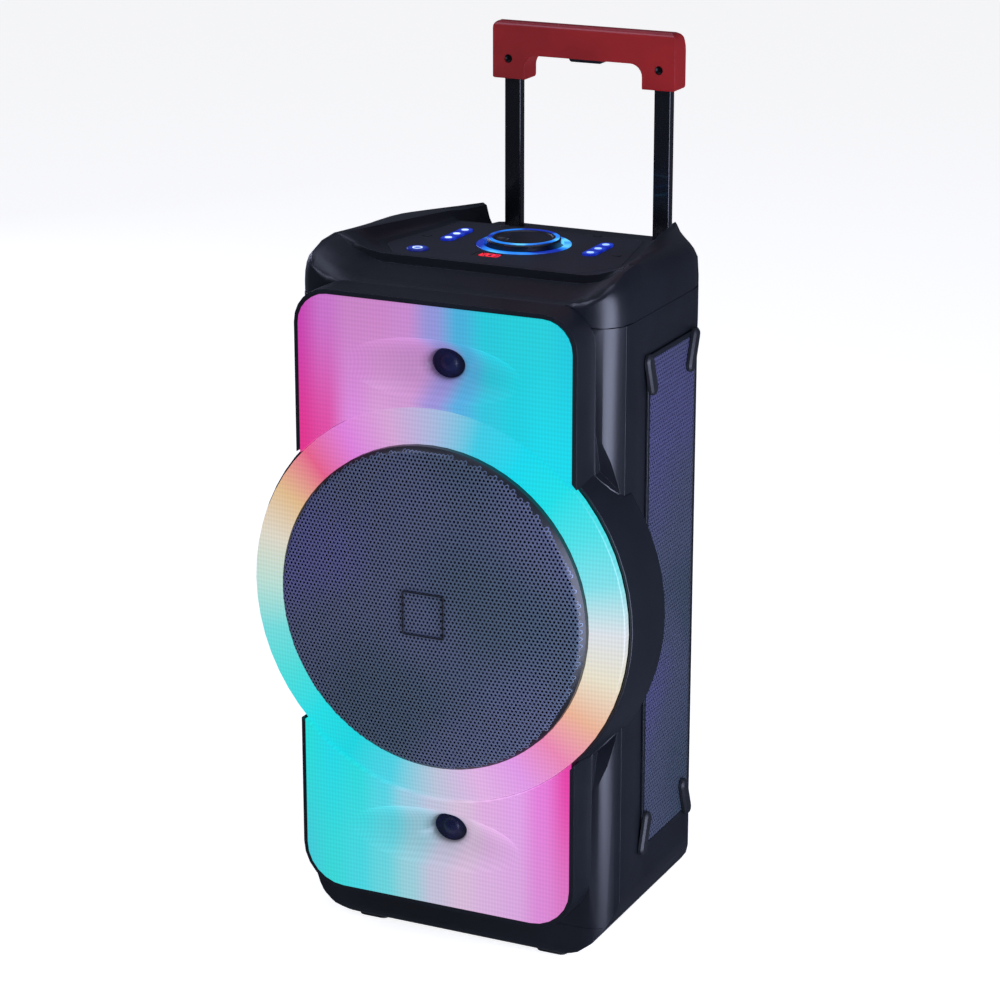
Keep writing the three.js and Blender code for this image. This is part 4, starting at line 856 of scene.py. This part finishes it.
class SPEAKER_OT_wheels(SpeakerOperator):
    """Rear wheels with grooved tyres, their axle, and the front feet"""
    bl_idname = "speaker.wheels"
    bl_label = "Wheels and feet"

    def execute(self, context):
        rubber = soft_rubber()
        plastic = deck_abs(self.finishes)
        refined("wheel_axle", bright_steel(), 0.4 * MM)
        for side, _ in SIDES:
            node = f"wheel_tyre_{side}"
            low, high = corners(node)
            centre = (low + high) / 2
            outer = (high.z - low.z) / 2
            half = (high.x - low.x) / 2
            hub_low, hub_high = corners(f"wheel_hub_{side}")
            hub = (hub_high.z - hub_low.z) / 2 + 0.3 * MM
            shoulder = [(outer, half - 5 * MM), (outer - 1.2 * MM, half - 2 * MM),
                        (outer - 4 * MM, half), (hub, half - 2 * MM)]
            tread = [(radius, -along) for radius, along in reversed(shoulder)]
            floor = outer - 1.6 * MM
            for groove in (-3.5 * MM, 3.5 * MM):
                tread += [(outer, groove - 1.2 * MM), (floor, groove - 0.7 * MM),
                          (floor, groove + 0.7 * MM), (outer, groove + 1.2 * MM)]
            settle(turned(tread + shoulder, centre, X, 64), f"{node}_surface", f"wheel_{side}",
                   rubber, (node,))
            refined(f"wheel_hub_{side}", plastic, 0.5 * MM)
            refined(f"front_foot_{side}", rubber, 0.8 * MM)
        return {"FINISHED"}


class SPEAKER_OT_rear(SpeakerOperator):
    """Rear connection panel with its sockets and screws, and the bass port"""
    bl_idname = "speaker.rear"
    bl_label = "Rear panel"

    def execute(self, context):
        plastic = body_abs(self.finishes)
        rubber = soft_rubber()
        refined("rear_io_panel", deck_abs(self.finishes), 0.5 * MM)
        refined("bass_port", plastic, 0.4 * MM)
        refined("charge_inlet", plastic, 0.4 * MM)
        refined("power_rocker", rubber, 0.4 * MM)
        for side, _ in SIDES:
            refined(f"mic_socket_{side}", rubber, 0.3 * MM)
        low, high = corners("rear_io_panel")
        metal = screw_steel()
        inset = 8 * MM
        columns = (low.x + inset, high.x - inset)
        rows = (low.z + inset, high.z - inset)
        for number, (x, z) in enumerate((x, z) for x in columns for z in rows):
            place = Matrix.Translation((x, high.y - 0.2 * MM, z)) @ FACING_BACK
            settle(placed(disc(3.2 * MM, 0.3 * MM, 24), place), f"panel_screw_{number + 1}",
                   "cabinet", metal)
        return {"FINISHED"}


class SPEAKER_OT_inside(SpeakerOperator):
    """Finishes of the boards, battery and guides inside the cabinet"""
    bl_idname = "speaker.inside"
    bl_label = "Inside"

    def execute(self, context):
        boards = board_fibreglass()
        inside = {node: boards for node in ("ring_led_board", "upper_led_board", "lower_led_board",
                                            "control_board", "amplifier_board")}
        inside["battery_pack"] = battery_wrap()
        metal = dark_metal()
        for side, _ in SIDES:
            inside[f"handle_sleeve_{side}"] = metal
        for node, finish in inside.items():
            for slot in frame["nodes"][node].material_slots:
                slot.material = finish
        return {"FINISHED"}


class SPEAKER_OT_stage(SpeakerOperator):
    """Lit white table, soft studio lights and the camera"""
    bl_idname = "speaker.stage"
    bl_label = "Stage"

    def execute(self, context):
        studio = context.scene.speaker_studio
        self.floor(studio)
        self.lights()
        self.world(context.scene)
        self.camera(context.scene, studio)
        context.scene.view_settings.view_transform = "Standard"
        return {"FINISHED"}

    def floor(self, studio):
        bm = bmesh.new()
        bmesh.ops.create_grid(bm, x_segments=1, y_segments=1, size=12.0)
        mesh = bpy.data.meshes.new("studio_floor")
        bm.to_mesh(mesh)
        bm.free()
        floor = bpy.data.objects.new("studio_floor", mesh)
        bpy.context.scene.collection.objects.link(floor)
        mesh.materials.append(light_table(studio.floor_colour))
        floor.visible_glossy = False   # black pieces don't mirror it

    def lights(self):
        """Soft boxes: name, place, width and height in metres, and power in watts."""
        rows = (
            ("key", (-1.6, -2.0, 2.6), 1.6, 1.0, 34.0),
            ("strip", (0.86, -0.5, 0.3), 0.7, 1.0, 21.0),
            ("top", (0.2, 0.1, 2.9), 2.2, 2.2, 30.0),
            ("rim", (-2.2, 1.6, 1.2), 0.5, 1.6, 12.0),
        )
        for name, place, width, height, power in rows:
            light = bpy.data.lights.new(name, "AREA")
            light.shape = "RECTANGLE"
            light.size = width
            light.size_y = height
            light.energy = power
            light.color = linear("#cdd3f4")[:3]
            lamp = bpy.data.objects.new(name, light)
            lamp.location = place
            lamp.visible_camera = False
            aim = Vector((0, 0, 0.35)) - Vector(place)
            lamp.rotation_euler = aim.to_track_quat("-Z", "Y").to_euler()
            bpy.context.scene.collection.objects.link(lamp)

    def world(self, scene):
        """White where the camera looks past the floor, and dimmer as a source of light."""
        world = bpy.data.worlds.new("studio")
        world.use_nodes = True
        tree = world.node_tree
        tree.nodes.clear()
        paths = add(tree, "ShaderNodeLightPath")
        seen = add(tree, "ShaderNodeBackground", {"Color": (1, 1, 1, 1), "Strength": 1.0})
        felt = add(tree, "ShaderNodeBackground", {"Color": linear("#ccd2f5"), "Strength": 0.11})
        mix = add(tree, "ShaderNodeMixShader", {"Fac": paths.outputs["Is Camera Ray"]})
        tree.links.new(felt.outputs["Background"], mix.inputs[1])
        tree.links.new(seen.outputs["Background"], mix.inputs[2])
        add(tree, "ShaderNodeOutputWorld", {"Surface": mix.outputs["Shader"]})
        scene.world = world

    def camera(self, scene, studio):
        front = corners("upper_light_lens")[0].y
        aim = Vector((65.2 * MM, front, 447.3 * MM))
        level = cos(studio.elevation)
        back = Vector((sin(studio.azimuth) * level, -cos(studio.azimuth) * level,
                       sin(studio.elevation)))
        lens = bpy.data.cameras.new("camera")
        lens.lens = studio.focal_length
        lens.sensor_width = 36.0
        camera = bpy.data.objects.new("camera", lens)
        camera.location = aim + back * studio.distance
        camera.rotation_euler = (-back).to_track_quat("-Z", "Y").to_euler()
        scene.collection.objects.link(camera)
        scene.camera = camera


PIECES = (
    SPEAKER_OT_stage,
    SPEAKER_OT_cabinet,
    SPEAKER_OT_lights,
    SPEAKER_OT_woofer,
    SPEAKER_OT_sides,
    SPEAKER_OT_deck,
    SPEAKER_OT_handle,
    SPEAKER_OT_wheels,
    SPEAKER_OT_rear,
    SPEAKER_OT_inside,
)


class SPEAKER_PT_panel(bpy.types.Panel):
    """Sidebar panel with the speaker's settings and pieces"""
    bl_idname = "SPEAKER_PT_panel"
    bl_label = "Party speaker"
    bl_space_type = "VIEW_3D"
    bl_region_type = "UI"
    bl_category = "Speaker"

    def draw(self, context):
        layout = self.layout
        scene = context.scene
        for group in (scene.speaker_details, scene.speaker_finishes, scene.speaker_studio):
            box = layout.box()
            for name in group.__annotations__:
                box.prop(group, name)
        for piece in PIECES:
            layout.operator(piece.bl_idname)


CLASSES = (SPEAKER_PG_details, SPEAKER_PG_finishes, SPEAKER_PG_studio, *PIECES, SPEAKER_PT_panel)


def register():
    for cls in CLASSES:
        bpy.utils.register_class(cls)
    bpy.types.Scene.speaker_details = PointerProperty(type=SPEAKER_PG_details)
    bpy.types.Scene.speaker_finishes = PointerProperty(type=SPEAKER_PG_finishes)
    bpy.types.Scene.speaker_studio = PointerProperty(type=SPEAKER_PG_studio)


def unregister():
    del bpy.types.Scene.speaker_studio
    del bpy.types.Scene.speaker_finishes
    del bpy.types.Scene.speaker_details
    for cls in reversed(CLASSES):
        bpy.utils.unregister_class(cls)


def main():
    register()
    for piece in PIECES:
        name = piece.bl_idname.split(".")[1]
        getattr(bpy.ops.speaker, name)()


if __name__ == "__main__":
    main()
